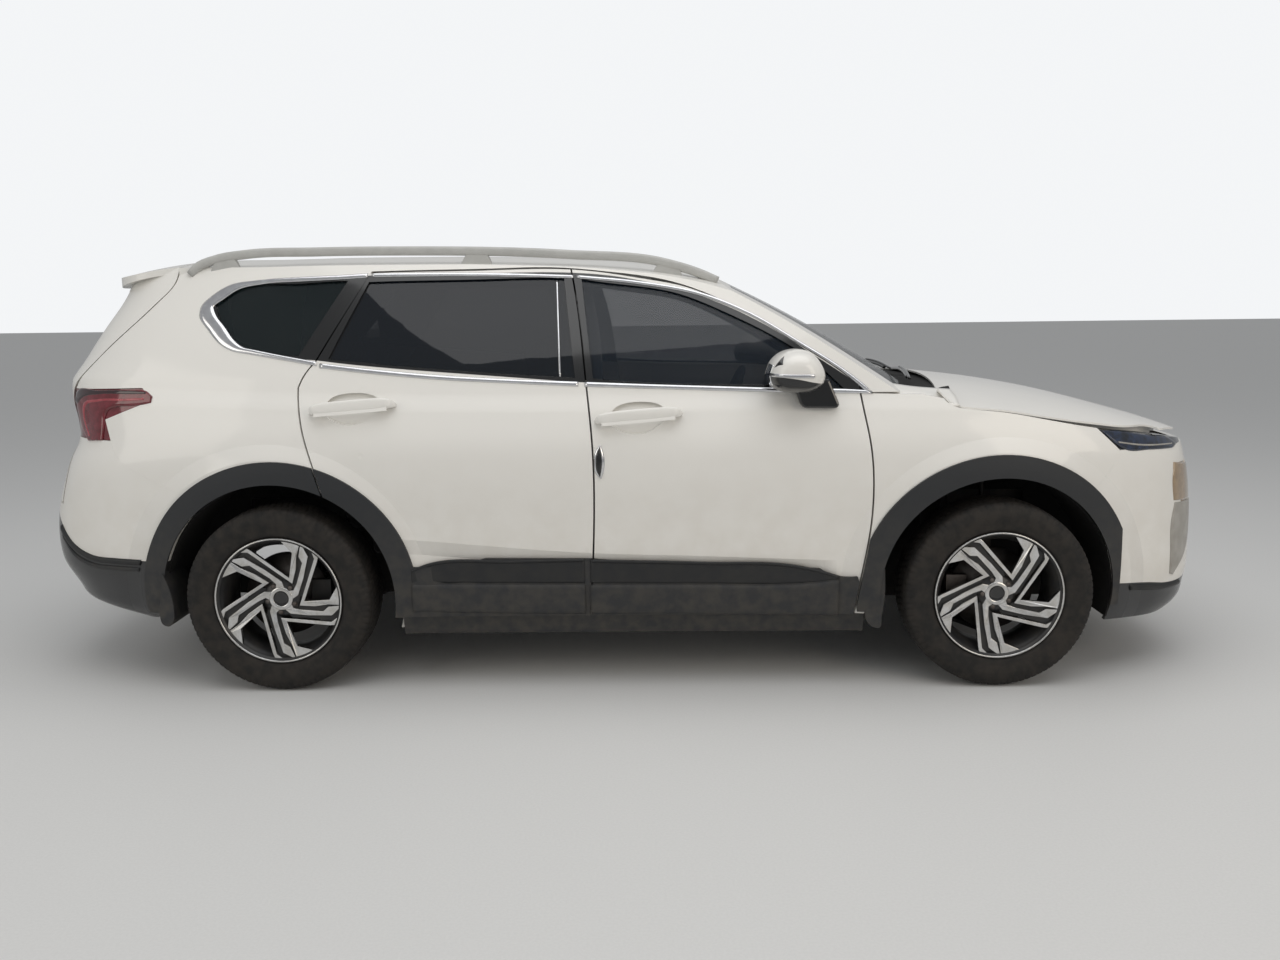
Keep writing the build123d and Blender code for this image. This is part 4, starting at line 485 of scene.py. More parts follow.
def mirrored(name, points, faces, material, body, slot, **more):
    """One piece on each side of the car; body is the one on the right."""
    return [piece(f"{side}_{name}", both(points, side), facing(faces, side), material,
                  body.replace("right", side), slot, **more) for side in ("right", "left")]


def turned(profile, axle, track, side, steps=96):
    """Profile (outboard of the wheel's middle, radius) turned about the axle."""
    angle = np.linspace(0, 2 * np.pi, steps, endpoint=False)
    out, radius = np.asarray(profile, float).T
    points = np.stack([axle + radius * np.cos(angle)[:, None], -(track / 2 + out) * np.ones((steps, 1)),
                       AXLE_HEIGHT + radius * np.sin(angle)[:, None]], -1)
    return both(points, side)


def outward_faces(made, merge=0.0):
    """Turn a closed mesh's faces outwards, after joining points nearer than merge (m)."""
    work = bmesh.new()
    work.from_mesh(made.data)
    if merge:
        bmesh.ops.remove_doubles(work, verts=work.verts, dist=merge)
    bmesh.ops.recalc_face_normals(work, faces=work.faces)
    work.to_mesh(made.data)
    work.free()
    return made


def bevelled(made, width_mm, segments=2, angle=0.5):
    """Round the edges that turn by more than angle (radians)."""
    bevel = made.modifiers.new("soft_edges", "BEVEL")
    bevel.width, bevel.segments = width_mm / 1000, segments
    bevel.limit_method, bevel.angle_limit = "ANGLE", angle
    return made


def smooth_line(points, count):
    """Smooth curve through points, evenly spaced along its run."""
    points = np.asarray(points, float)
    run = np.concatenate([[0], np.cumsum(np.linalg.norm(np.diff(points, axis=0), axis=1))])
    at = np.linspace(0, run[-1], count)
    return np.stack([hermite(list(zip(run, column)), at) for column in points.T], 1)


def rounded_ring(width, height, power, count):
    """Closed oval section: each coordinate is its sine or cosine raised to a power, sign kept."""
    turn = np.linspace(0, 2 * np.pi, count, endpoint=False)
    ring = np.stack([np.cos(turn), np.sin(turn)], 1)
    return np.sign(ring) * np.abs(ring) ** power * [width, height]


def prism_faces(count):
    """Two outlines of count points, one behind the other, closed at the front, the back and the sides."""
    ahead = list(range(count))
    return [ahead[::-1], [count + i for i in ahead]] \
        + [[i, (i + 1) % count, count + (i + 1) % count, count + i] for i in ahead]


def sheet_between(front, back):
    """Closed mesh from two grids of points of one size: both faces and the rim that joins them."""
    rows, columns = front.shape[:2]
    n = rows * columns
    cells = grid_faces(rows, columns)
    rim = list(range(columns)) + [r * columns + columns - 1 for r in range(1, rows)] \
        + list(range(n - 2, n - columns - 1, -1)) + [r * columns for r in range(rows - 2, 0, -1)]
    faces = cells + [[n + i for i in f[::-1]] for f in cells] \
        + [[a, b, n + b, n + a] for a, b in zip(rim, rim[1:] + rim[:1])]
    return np.concatenate([front.reshape(-1, 3), back.reshape(-1, 3)]), faces


BAND_BACK = 3.0          # how far a band's underside lies under its edge


def skin_band(name, first, second, material, body, slot, thick, proud=0.0, count=60, across=9, crown=6):
    """Crowned band on the skin between two lines of the side view: their blend, raised by 1 - |u| ^ crown."""
    first, second = smooth_line(first, count)[:, None], smooth_line(second, count)[:, None]
    u = np.linspace(-1, 1, across)[None, :, None]
    flat = first * (1 - u) / 2 + second * (1 + u) / 2
    x, z = flat[..., 0], flat[..., 1]
    normal = skin_normal(x, z)
    rise = proud + thick * (1 - np.abs(u) ** crown)
    base = np.stack([x, -skin(x, z), z], -1)
    under = (base + normal * (proud - BAND_BACK))[:, [-1, 0]]
    points = np.concatenate([base + normal * rise, under], 1)
    for made in mirrored(name, points, capped(count, across + 2), material, body, slot):
        outward_faces(made)


def side_plate(name, outline, outer, inner, material, body, slot, bevel=4.0, rounded=True):
    """Closed outline of the side view, between two distances from the centre plane, with soft edges."""
    line = np.array(outline, float)
    if rounded:
        line = smooth_line(list(outline) + [outline[0]], 6 * len(outline) + 1)[:-1]
    sides = [np.stack([line[:, 0], np.full(len(line), -y), line[:, 1]], 1) for y in (outer, inner)]
    points, faces = np.concatenate(sides), prism_faces(len(line))
    for made in mirrored(name, points, faces, material, body, slot, smooth=False):
        bevelled(outward_faces(made), bevel)


def stretched_sheet(name, lines, material, body, slot, count=24, thick=8.0):
    """Sheet stretched between lines in space, each smoothed, then thickened downwards."""
    rows = np.stack([smooth_line(line, count) for line in lines])
    place, fine = np.arange(len(rows)), np.linspace(0, len(rows) - 1, 4 * len(rows))
    grid = [[hermite(list(zip(place, rows[:, j, k])), fine) for k in range(3)] for j in range(count)]
    top = np.array(grid).transpose(2, 0, 1)
    points, faces = sheet_between(top, top - [0, 0, thick])
    for made in mirrored(name, points, faces, material, body, slot):
        outward_faces(made)


# ---------------------------------------------------------------- window trims
RIBBON_OUTER = [(-980, 1606), (-1090, 1600), (-1248, 1595), (-1407, 1585), (-1534, 1564), (-1594, 1526),
                (-1633, 1483), (-1635, 1453), (-1591, 1395), (-1527, 1334), (-1493, 1317), (-1413, 1301),
                (-1294, 1280), (-1152, 1255)]
RIBBON_INNER = [(-980, 1589), (-1088, 1583), (-1246, 1577), (-1396, 1568), (-1490, 1548), (-1543, 1513),
                (-1581, 1479), (-1572, 1460), (-1528, 1410), (-1473, 1349), (-1443, 1330), (-1395, 1319),
                (-1287, 1297), (-1152, 1272)]
REAR_TOP = ([(-966, 1606), (-657, 1605), (-382, 1598), (-173, 1589)],
            [(-960, 1591), (-656, 1590), (-381, 1584), (-173, 1576)])
FRONT_TOP = ([(-160, 1589), (87, 1563), (319, 1518), (509, 1440), (695, 1329), (843, 1235), (925, 1172),
              (962, 1138)],
             [(-160, 1576), (87, 1549), (319, 1503), (509, 1425), (695, 1312), (842, 1216), (906, 1166),
              (930, 1146)])
REAR_SILL = ([(-1138, 1266), (-945, 1243), (-676, 1217), (-408, 1200), (-148, 1188)],
             [(-1138, 1247), (-944, 1224), (-675, 1199), (-408, 1183), (-148, 1169)])
FRONT_SILL = ([(-124, 1187), (123, 1176), (388, 1166), (651, 1156), (880, 1150), (940, 1146)],
              [(-124, 1168), (123, 1158), (387, 1148), (651, 1139), (880, 1133), (962, 1131)])


def chrome_trims():
    """Satin ribbon round the side windows, split at the doors, and the divider of the rear door's glass."""
    ribbon = dict(thick=5, proud=1, across=7, crown=3)
    skin_band("quarter_window_chrome", RIBBON_OUTER, RIBBON_INNER, CHROME, "body", "alloy", count=120,
              **ribbon)
    for place, part, edges in (("rear", "top", REAR_TOP), ("front", "top", FRONT_TOP),
                               ("rear", "sill", REAR_SILL), ("front", "sill", FRONT_SILL)):
        skin_band(f"{place}_door_chrome_{part}", *edges, CHROME, f"{place}_right_door", "alloy", count=80,
                  **ribbon)
    skin_band("rear_door_window_divider", [(-241, 1572), (-222, 1206)], [(-233, 1572), (-214, 1206)], CHROME,
              "rear_right_door", "alloy", thick=2, proud=-3, count=24, across=5)


# ---------------------------------------------------------------- door handles, guard, cladding
HANDLE_CORNERS = {"front": (-58, 1019), "rear": (-1141, 1062)}     # rear lower corner of each grip
HANDLE_LENGTH, HANDLE_RISE, HANDLE_LIFT = 309, 24, 38.5
CLADDING_OUT = 13.5                                                # outer face of the cladding over the skin
STEP_LINES = {
    "rear": ([(-800, 474), (-737, 496), (-400, 508), (-133, 513)],
             [(-800, 428), (-700, 426), (-400, 422), (-133, 420)],
             [(-800, 312), (-700, 309), (-400, 302), (-133, 299)]),
    "front": ([(-112, 509), (308, 497), (690, 478), (760, 462), (838, 438)],
              [(-112, 419), (308, 416), (690, 416), (780, 424), (838, 436)],
              [(-112, 298), (308, 293), (690, 288), (780, 287), (838, 286)])}


def handle(name, x, z, body):
    """Bar handle: a path that leaves the door, runs level and returns, with an oval section that narrows to
    both ends."""
    t = np.linspace(0, 1, 61)
    along, over = x - 17 + HANDLE_LENGTH * t, z + 21 + HANDLE_RISE * t
    lift = HANDLE_LIFT * (1 - np.abs(2 * t - 1) ** 30) - 4
    tall = 8 + 17 * np.sqrt(1 - np.abs(2 * t - 1) ** 4)
    normal = skin_normal(along, over)
    path = np.stack([along, -skin(along, over), over], -1) + normal * lift[:, None]
    ring = rounded_ring(1.0, 12.5, 0.6, 20)
    points = carried(path, normal, ring)
    points[..., 2] += (tall[:, None] - 1.0) * ring[None, :, 0] * np.sign(points[3, 0, 2] - points[3, 10, 2])
    for made in mirrored(name, points, capped(61, 20), PAINT, body, "paint"):
        outward_faces(made)


SENSOR = ([(3, 1060), (18, 1061)], [(3, 1047), (18, 1048)])
GUARD_FRAME = ([(-68, 954), (-85, 930), (-89, 892), (-87, 852), (-68, 828)],
               [(-62, 954), (-53, 925), (-49, 890), (-53, 855), (-62, 828)])
GUARD = ([(-69, 946), (-81, 922), (-84, 890), (-82, 858), (-69, 834)],
         [(-66, 946), (-60, 920), (-57, 890), (-60, 862), (-66, 834)])


def door_fittings():
    """Handles, the touch sensor on the front one, and the blank guard on the front door's rear edge."""
    for place, (x, z) in HANDLE_CORNERS.items():
        handle(f"{place}_door_handle", x, z, f"{place}_right_door")
    body = "front_right_door"
    skin_band("handle_touch_sensor", *SENSOR, BLACK_GLOSS, body, "trim_dark", thick=1.5, proud=46.5, count=6,
              across=5)
    skin_band("door_edge_guard_frame", *GUARD_FRAME, CHROME, body, "alloy", thick=5, count=30, crown=3)
    skin_band("door_edge_guard", *GUARD, BLACK_GLOSS, body, "trim_dark", thick=9, proud=1, count=30, crown=3)


def door_cladding():
    """Two-step cladding under each door: a step drawn darker as painted shade, raised lower band and a lip
    along the top.
    """
    for place, (top, step, low) in STEP_LINES.items():
        body = f"{place}_right_door"
        # painted shade: the recessed step between the top line and the step line is drawn in the darker copy
        # of the cladding
        skin_band(f"{place}_door_step", top, step, CLADDING_DARK_AND_PAINTED_SHADE, body, "cladding", thick=2.5,
                  proud=CLADDING_OUT, crown=10)
        skin_band(f"{place}_door_lower_cladding", [(x, z - 3) for x, z in step], low, CLADDING, body,
                  "cladding", thick=8, proud=CLADDING_OUT, across=15, crown=12)
        skin_band(f"{place}_door_step_lip", [(x, z + 6) for x, z in top], [(x, z - 6) for x, z in top],
                  CLADDING_DARK_AND_PAINTED_SHADE, body, "cladding", thick=5, proud=CLADDING_OUT, across=7, crown=4)


# ---------------------------------------------------------------- door mirrors
MIRROR_MIDDLE, MIRROR_INNER, MIRROR_DEPTH = (664, 1224), 866.0, 180.0
MIRROR_POWER = 3.2                                                 # squareness of the head seen from above
MIRROR_RINGS, MIRROR_STEPS = 26, 72
MIRROR_SIDE = [(554, 1212), (574, 1262), (614, 1294), (664, 1304), (718, 1292), (756, 1252), (772, 1206),
               (756, 1164), (712, 1144), (662, 1143), (606, 1150), (566, 1174)]
MIRROR_SPLIT = [(540, 1212), (600, 1208), (664, 1200), (720, 1188), (790, 1176)]


def mirror_shell(grow=0.0):
    """Domed head: its side outline drawn in by a superellipse with the distance from the door."""
    loop = smooth_line(MIRROR_SIDE + MIRROR_SIDE[:1], MIRROR_STEPS + 1)[:-1] - MIRROR_MIDDLE
    loop = loop * (1 + grow / np.linalg.norm(loop, axis=1))[:, None]
    w = np.sin(np.linspace(0, np.pi / 2, MIRROR_RINGS))
    draw = (1 - w ** MIRROR_POWER) ** (1 / MIRROR_POWER)
    draw[-1] = 0.02
    out = np.repeat(-(MIRROR_INNER + (MIRROR_DEPTH + grow) * w)[:, None], MIRROR_STEPS, 1)
    x = MIRROR_MIDDLE[0] + draw[:, None] * loop[None, :, 0]
    z = MIRROR_MIDDLE[1] + draw[:, None] * loop[None, :, 1]
    return np.stack([x, out, z], -1)


def below_mirror_line(tree):
    return beyond_line(tree, MIRROR_SPLIT, below=True)


MIRROR_FOOT = [(650, 1192), (684, 1096), (700, 1084), (820, 1082), (831, 1096), (790, 1192)]
INDICATOR_TURN, INDICATOR_OUT = (1.25, 2.85), 2.0       # arc of the strip (radians), how far it stands out


def door_mirror():
    """White cap over a black housing, indicator strip round its outer end, foot, and the glass behind."""
    cap_paint = white_paint("pearl_white_mirror_cap_over_black_housing", below_mirror_line, "0C0D10", 0.3)
    body = "front_right_door"
    faces = capped(MIRROR_RINGS, MIRROR_STEPS)
    head = mirrored("mirror_head", mirror_shell(), faces, cap_paint, body, "paint")
    turn = np.linspace(*INDICATOR_TURN, 60)
    ahead, out = np.cos(turn), np.sin(turn)
    reach = MIRROR_DEPTH + INDICATOR_OUT
    path = np.stack([MIRROR_MIDDLE[0] + 109 * np.sign(ahead) * np.abs(ahead) ** (2 / MIRROR_POWER),
                     -(MIRROR_INNER + reach * np.maximum(out, 0) ** (2 / MIRROR_POWER)), 1213 - 3 * ahead], 1)
    strip = carried(path, np.stack([ahead, -out, 0 * turn], 1), strip_profile(13, 3.5))
    indicator = mirrored("mirror_indicator", strip, capped(*strip.shape[:2]), CHROME, body, "alloy")
    for made in head + indicator:
        outward_faces(made)
    side_plate("mirror_foot", MIRROR_FOOT, 914, 838, BLACK_GLOSS, body, "trim_dark", bevel=9, rounded=False)
    facing_back = np.arange(-5, 6) % MIRROR_STEPS
    points, faces = sheet_between(mirror_shell(0.8)[2:12, facing_back], mirror_shell(-2)[2:12, facing_back])
    for made in mirrored("mirror_glass", points, faces, MIRROR, body, "alloy"):
        outward_faces(made)


# ---------------------------------------------------------------- lamps
TAIL_LAMP = ([(-2101, 968), (-2170, 1041), (-2184, 1100), (-2172, 1152), (-2031, 1167), (-1880, 1168),
              (-1816, 1165), (-1791, 1146)],
             [(-2013, 975), (-2006, 1030), (-2000, 1070), (-1985, 1092), (-1960, 1102), (-1880, 1110),
              (-1830, 1115), (-1796, 1122)])
TAIL_SMOKE = ([(-2178, 1118), (-2168, 1150), (-2031, 1165), (-1880, 1166), (-1818, 1163)],
              [(-2160, 1108), (-2120, 1134), (-2031, 1150), (-1880, 1153), (-1818, 1154)])
TAIL_GUIDE = ([(-2090, 985), (-2125, 1050), (-2120, 1110), (-2031, 1132), (-1900, 1136), (-1825, 1140)],
              [(-2078, 985), (-2112, 1050), (-2104, 1102), (-2031, 1122), (-1900, 1127), (-1825, 1132)])


HEADLAMP = ([(1832, 980), (1895, 977), (2035, 955), (2171, 927), (2205, 905)],
            [(1842, 974), (1893, 929), (1932, 906), (2050, 897), (2174, 891)])
HEADLAMP_GUIDE = ([(1900, 938), (1990, 924), (2171, 911)], [(1905, 930), (1990, 916), (2171, 905)])
CORNER_LAMP = ([(2178, 836), (2174, 760), (2186, 684)], [(2352, 800), (2354, 740), (2352, 668)])
CORNER_TRIM = ([(2192, 674), (2178, 600), (2182, 480), (2186, 388)],
               [(2352, 656), (2340, 570), (2290, 460), (2206, 380)])


def lamps():
    """Slim upper headlamp, upright corner lamp with its silver trim, tail lamp with its light guide."""
    for name, edges, material, slot, form in (
            ("slim_headlamp_lens", HEADLAMP, LAMP_DARK, "lamp_clear",
             dict(thick=3, proud=0.5, count=40, across=11, crown=8)),
            ("slim_headlamp_guide", HEADLAMP_GUIDE, SILVER, "alloy",
             dict(thick=2, proud=2.2, count=40, across=7, crown=4)),
            ("corner_lamp_lens", CORNER_LAMP, LAMP_CLEAR, "lamp_clear",
             dict(thick=3, proud=0.5, count=30, across=13, crown=10)),
            ("corner_lamp_trim", CORNER_TRIM, SILVER, "alloy",
             dict(thick=4, proud=0.5, count=40, across=13, crown=8)),
            ("tail_lamp_lens", TAIL_LAMP, LAMP_RED, "lamp_red",
             dict(thick=4, proud=0.5, count=70, across=15, crown=8)),
            ("tail_lamp_smoked_band", TAIL_SMOKE, LAMP_SMOKE, "lamp_red",
             dict(thick=1.5, proud=4.2, across=7)),
            ("tail_lamp_light_guide", TAIL_GUIDE, LAMP_GLOW, "lamp_red",
             dict(thick=1.5, proud=4.2, across=7, crown=4))):
        skin_band(name, *edges, material, "body", slot, **form)


# ---------------------------------------------------------------- bumpers, flaps, cowl, rails
REAR_STEP = ([(-2262, 622), (-2183, 556), (-2094, 521), (-1980, 515), (-1866, 514)],
             [(-2262, 592), (-2187, 528), (-2094, 497), (-1980, 492), (-1872, 491)])
REAR_LOWER_STEP = ([(-2258, 586), (-2187, 520), (-2094, 489), (-1980, 484), (-1876, 483)],
                   [(-2250, 560), (-2187, 500), (-2094, 470), (-1980, 466), (-1880, 465)])
FRONT_LIP = ([(1990, 372), (2080, 362), (2171, 350), (2260, 346)],
             [(1990, 346), (2080, 336), (2171, 326), (2260, 322)])


def bumper_steps():
    """Two ledges along the rear valance's top and a lip along the front one."""
    for name, edges, material, form in (
            ("rear_bumper_step", REAR_STEP, CLADDING_DARK_AND_PAINTED_SHADE, dict(thick=9, count=50, crown=4)),
            ("rear_bumper_lower_step", REAR_LOWER_STEP, CLADDING, dict(thick=6, count=50, crown=4)),
            ("front_bumper_lip", FRONT_LIP, CLADDING_DARK_AND_PAINTED_SHADE, dict(thick=8, count=40, crown=3))):
        skin_band(name, *edges, material, "body", "cladding", **form)


FLAP_INNER = 716


def mud_flaps():
    side_plate("front_mud_flap", [(1012, 470), (974, 420), (952, 358), (946, 262), (970, 240), (994, 236),
                                  (1004, 290), (1012, 346)], 922, FLAP_INNER, CLADDING, "body", "cladding", 6)
    side_plate("rear_mud_flap", [(-1768, 470), (-1782, 380), (-1792, 301), (-1782, 264), (-1758, 256),
                                 (-1738, 280), (-1734, 319), (-1744, 400)], 908, FLAP_INNER, CLADDING, "body",
               "cladding", 6)


def wiper(name, pivot, tip):
    """Wiper: a bent arm and a thin blade, oval sections along paths just over the screen."""
    pivot, tip, outward = np.array(pivot, float), np.array(tip, float), np.array([0.4, 0.0, 0.9])
    steps, sides = 30, 12
    for part, size, start, end, lift in (("arm", (7, 5), 0.0, 0.62, 10.0), ("blade", (4, 9), 0.12, 1.0, 2.0)):
        t = np.linspace(start, end, steps)[:, None]
        path = pivot + (tip - pivot) * t + outward * (lift + 22 * np.sin(np.pi * t))
        points = carried(path, np.repeat([outward], steps, 0), rounded_ring(*size, 1, sides))
        outward_faces(piece(f"{name}_{part}", points, capped(steps, sides), BLACK_GLOSS, "body", "trim_dark"))


def cowl():
    """Painted corners beside the windscreen's foot, the felt-covered trough between them, and two wipers."""
    stretched_sheet("cowl_corner", [[(946, -868, 1107), (1102, -870, 1099), (1286, -868, 1088)],
                                    [(960, -820, 1150), (1110, -812, 1132), (1290, -800, 1112)],
                                    [(1010, -740, 1170), (1130, -730, 1150), (1286, -720, 1136)]],
                    PAINT, "body", "paint")
    stretched_sheet("cowl_cover", [[(1010, -742, 1160), (1120, -735, 1140), (1290, -722, 1126)],
                                   [(1090, -400, 1150), (1200, -400, 1138), (1350, -400, 1136)],
                                   [(1130, 2, 1150), (1240, 2, 1140), (1378, 2, 1142)]],
                    LINER, "body", "trim_dark")
    wiper("right_wiper", (1160, -560, 1158), (1215, 60, 1166))
    wiper("left_wiper", (1210, 60, 1160), (1130, 660, 1166))


RAIL_TOP = [(-1700, 1628), (-1678, 1652), (-1592, 1687), (-1472, 1705), (-1200, 1711), (-900, 1711),
            (-200, 1689), (180, 1653), (330, 1606), (392, 1578)]
RAIL_Y, RAIL_HALF_WIDTH, RAIL_HALF_HEIGHT = -590.0, 17, 18
RAIL_FEET = [(-1560, 1680, 1600), (-560, 1690, 1630), (190, 1640, 1575)]     # x, top and bottom of each foot


def roof_rails():
    """Bowed rail of oval section over three feet on each side of the roof."""
    steps, sides = 120, 24
    x, z = smooth_line(RAIL_TOP, steps).T
    path = np.stack([x, np.full(steps, RAIL_Y), z - RAIL_HALF_HEIGHT], 1)
    ring = rounded_ring(RAIL_HALF_WIDTH, RAIL_HALF_HEIGHT, 0.7, sides)
    points = carried(path, np.repeat([[0.0, 0.0, 1.0]], steps, 0), ring)
    rails = mirrored("roof_rail", points, capped(steps, sides), RAIL, "body", "rail")
    for made in rails:
        outward_faces(made)
    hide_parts("roof_rails")
    for index, (x, top, low) in enumerate(RAIL_FEET):
        side_plate(f"roof_rail_foot_{index}", [(x - 30, top), (x + 30, top), (x + 62, low), (x - 62, low)],
                   -RAIL_Y + 13, -RAIL_Y - 13, RAIL, "body", "rail", 5)


chrome_trims()
door_fittings()
door_cladding()
door_mirror()
lamps()
bumper_steps()
mud_flaps()
cowl()
roof_rails()


# ---------------------------------------------------------------- wheels
SPOKES = 5
# outlines about the axle, seen from outboard, of one arm of the spokes
SPOKE_BAND = np.array([(227, -96), (183, -118), (-16, -75), (-7, -137), (11, -190), (17, -233), (23, -243),
                       (101, -222), (30, -192), (4, -92), (172, -130), (206, -134)], float)
SPOKE_MIDDLE = np.array([(-40, -18), (-54, -43), (-47, -118), (-30, -209), (14, -243), (13, -232), (2, -191),
                         (-20, -173), (-31, -85), (-30, -52), (-14, -42)], float)
POCKETS = np.array([(-24, -66), (6, -100), (14, -190), (30, -200), (104, -220), (60, -236), (20, -243),
                    (-30, -241), (-72, -232), (-56, -200), (-62, -110), (-72, -52), (-50, -10)], float)

# profiles of turned pieces: outboard of the wheel's middle, and radius
RIM_HALF, RIM_RADIUS, POLE = 106.0, 247.0, 0.01
BARREL = [(-RIM_HALF, RIM_RADIUS - 14), (-RIM_HALF, RIM_RADIUS), (-RIM_HALF + 9, RIM_RADIUS),
          (-RIM_HALF + 9, RIM_RADIUS - 14), (-60, RIM_RADIUS - 18), (-40, RIM_RADIUS - 30),
          (50, RIM_RADIUS - 30), (80, RIM_RADIUS - 15), (RIM_HALF - 9, RIM_RADIUS - 14),
          (RIM_HALF - 9, RIM_RADIUS), (RIM_HALF - 5, RIM_RADIUS + 1), (RIM_HALF, RIM_RADIUS),
          (RIM_HALF - 1, RIM_RADIUS - 5), (RIM_HALF - 14, RIM_RADIUS - 9), (78, RIM_RADIUS - 20),
          (50, RIM_RADIUS - 37), (-40, RIM_RADIUS - 37), (-60, RIM_RADIUS - 26),
          (-RIM_HALF + 6, RIM_RADIUS - 22)]
LIP = [(RIM_HALF - 6, RIM_RADIUS - 1.5), (RIM_HALF + 0.5, RIM_RADIUS - 1.5), (RIM_HALF - 0.5, RIM_RADIUS - 7),
       (RIM_HALF - 7, RIM_RADIUS - 7)]
HUB = [(40, POLE), (40, 74), (58, 76), (64, 62), (70, 47), (71, 45), (71, 32), (70, 30), (64, 29), (64, POLE)]
HUB_RING = [(70.2, 46), (72.5, 44), (73, 36), (72.5, 31), (70, 29), (66, 30), (66, 46)]
CENTRE_CAP = [(60, POLE), (60, 28), (70, 28), (71.5, 26.5), (71.5, 25), (70.5, 23), (71.5, 12), (72, POLE)]
BRAKE_DISC = [(-12, POLE), (-12, 162), (-25, 162), (-25, 150), (-27, 150), (-27, 162), (-40, 162), (-40, 80),
              (-60, 78), (-60, POLE)]
NUT = [(50, POLE), (50, 11.5), (62, 11.5), (68, 10.5), (73, 7), (75, POLE)]
NUT_CIRCLE, NUT_TURN, NUT_FLATS_BELOW, FLAT_DEPTH = 55, math.radians(-104.5), 70, 0.10
POLE_MERGE = 1e-4             # joins the points round a pole (m)


def spoke_face(radius):
    """Outboard place of the spokes: hub set in, rim end nearly flush."""
    return 70 + 24 * smooth_step(30, 235, radius)


def pocket_face(radius):
    """Outboard place of the pockets, a step behind the spokes."""
    return spoke_face(radius) - 13


def prism(outline, front, depth, turn):
    """Flat outline (x, z) turned about the axle, with a front that follows front(radius) and a depth."""
    c, s = math.cos(turn), math.sin(turn)
    x, z = outline[:, 0] * c - outline[:, 1] * s, outline[:, 0] * s + outline[:, 1] * c
    out = front(np.hypot(x, z))
    return np.concatenate([np.stack([x, out, z], 1), np.stack([x, out - depth, z], 1)])


def placed_wheel(points, axle, track, side):
    """Points about a wheel's own middle (ahead, outboard, up) put on its axle; one casting for both sides."""
    ahead, out = (1, -1) if side == "right" else (-1, 1)
    return np.array([axle, out * track / 2, AXLE_HEIGHT]) + points * [ahead, out, 1]


def wheel(place, side, axle, track, tilt):
    """Barrel and lip, split spokes over dark pockets, hub with its ring, blank cap and nuts, brake disc."""
    name, body = f"{place}_{side}", f"{place}_{side}_wheel"

    def turned_piece(title, profile, steps, material, closed=False, replaces=()):
        points = turned(profile, axle, track, side, steps)
        faces = grid_faces(steps, len(profile), True, closed)
        made = piece(f"{name}_{title}", points, faces, material, body, "alloy", replaces=replaces)
        outward_faces(made, 0.0 if closed else POLE_MERGE)

    turned_piece("wheel_barrel", BARREL, 120, ALLOY_DARK, True, (f"{name}_rim",))
    turned_piece("wheel_lip", LIP, 120, ALLOY, True)
    for title, outline, front, depth, material in (
            ("spoke_frames", SPOKE_BAND, spoke_face, 16, ALLOY),
            ("spoke_bars", SPOKE_MIDDLE, spoke_face, 16, ALLOY),
            ("spoke_pockets", POCKETS, pocket_face, 20, ALLOY_DARK)):
        turns = tilt + np.arange(SPOKES) * 2 * math.pi / SPOKES
        points = np.concatenate([prism(outline, front, depth, turn) for turn in turns])
        faces = [[i + 2 * len(outline) * arm for i in face] for arm in range(SPOKES)
                 for face in prism_faces(len(outline))]
        placed = placed_wheel(points, axle, track, side)
        made = piece(f"{name}_{title}", placed, faces, material, body, "alloy", smooth=False)
        bevelled(outward_faces(made), 1.2)
    turned_piece("hub", HUB, 60, ALLOY_DARK)
    turned_piece("hub_ring", HUB_RING, 60, ALLOY, True)
    turned_piece("centre_cap", CENTRE_CAP, 48, BLACK_GLOSS)
    wheel_nuts(name, body, axle, track, side, tilt)
    turned_piece("brake_disc", BRAKE_DISC, 96, STEEL)


def wheel_nuts(name, body, axle, track, side, tilt, steps=24):
    """Domed hexagon nuts in round wells: a turned dome whose lower part is pulled in to six flats."""
    angle = np.linspace(0, 2 * np.pi, steps, endpoint=False)
    out, radius = np.array(NUT)[:, :, None].transpose(1, 0, 2)
    flats = np.where(out < NUT_FLATS_BELOW, 1 - FLAT_DEPTH * (1 - np.abs(np.cos(3 * angle))), 1.0)
    nut = np.stack([radius * flats * np.cos(angle), out + 0 * flats, radius * flats * np.sin(angle)], -1)
    points, faces = [], []
    for index in range(SPOKES):
        turn = tilt + NUT_TURN + index * 2 * math.pi / SPOKES
        shift = np.array([NUT_CIRCLE * math.cos(turn), 0, NUT_CIRCLE * math.sin(turn)])
        points.append((nut + shift).reshape(-1, 3))
        faces += grid_faces(len(NUT), steps, wrap_columns=True, start=index * len(NUT) * steps)
    placed = placed_wheel(np.concatenate(points), axle, track, side)
    outward_faces(piece(f"{name}_wheel_nuts", placed, faces, STEEL, body, "alloy"), POLE_MERGE)


# right half of the tyre's section, without tread: bead, sidewall with its steps, shoulder, crown
SIDEWALL = [(96.7, 233), (96.7, RIM_RADIUS + 2), (103, RIM_RADIUS + 6), (108, 262), (109, 268), (113.5, 285),
            (116.5, 300), (117.4, 312), (115.5, 326), (112, 337), (108.5, 343), (106, 348), (101, 353),
            (95, 356.5)]
CROWN_STATIONS = (86, 80, 79, 72, 60, 46, 43, 33, 31, 20, 8, 5, 0)
CROWN_DROP, CROWN_AT = 5.5, 95
GROOVES, GROOVE_HALF_WIDTH, GROOVE_DEPTH = (-64, -22, 22, 64), 4.5, 7.5
TYRE_STEPS, LUGS = 540, 90


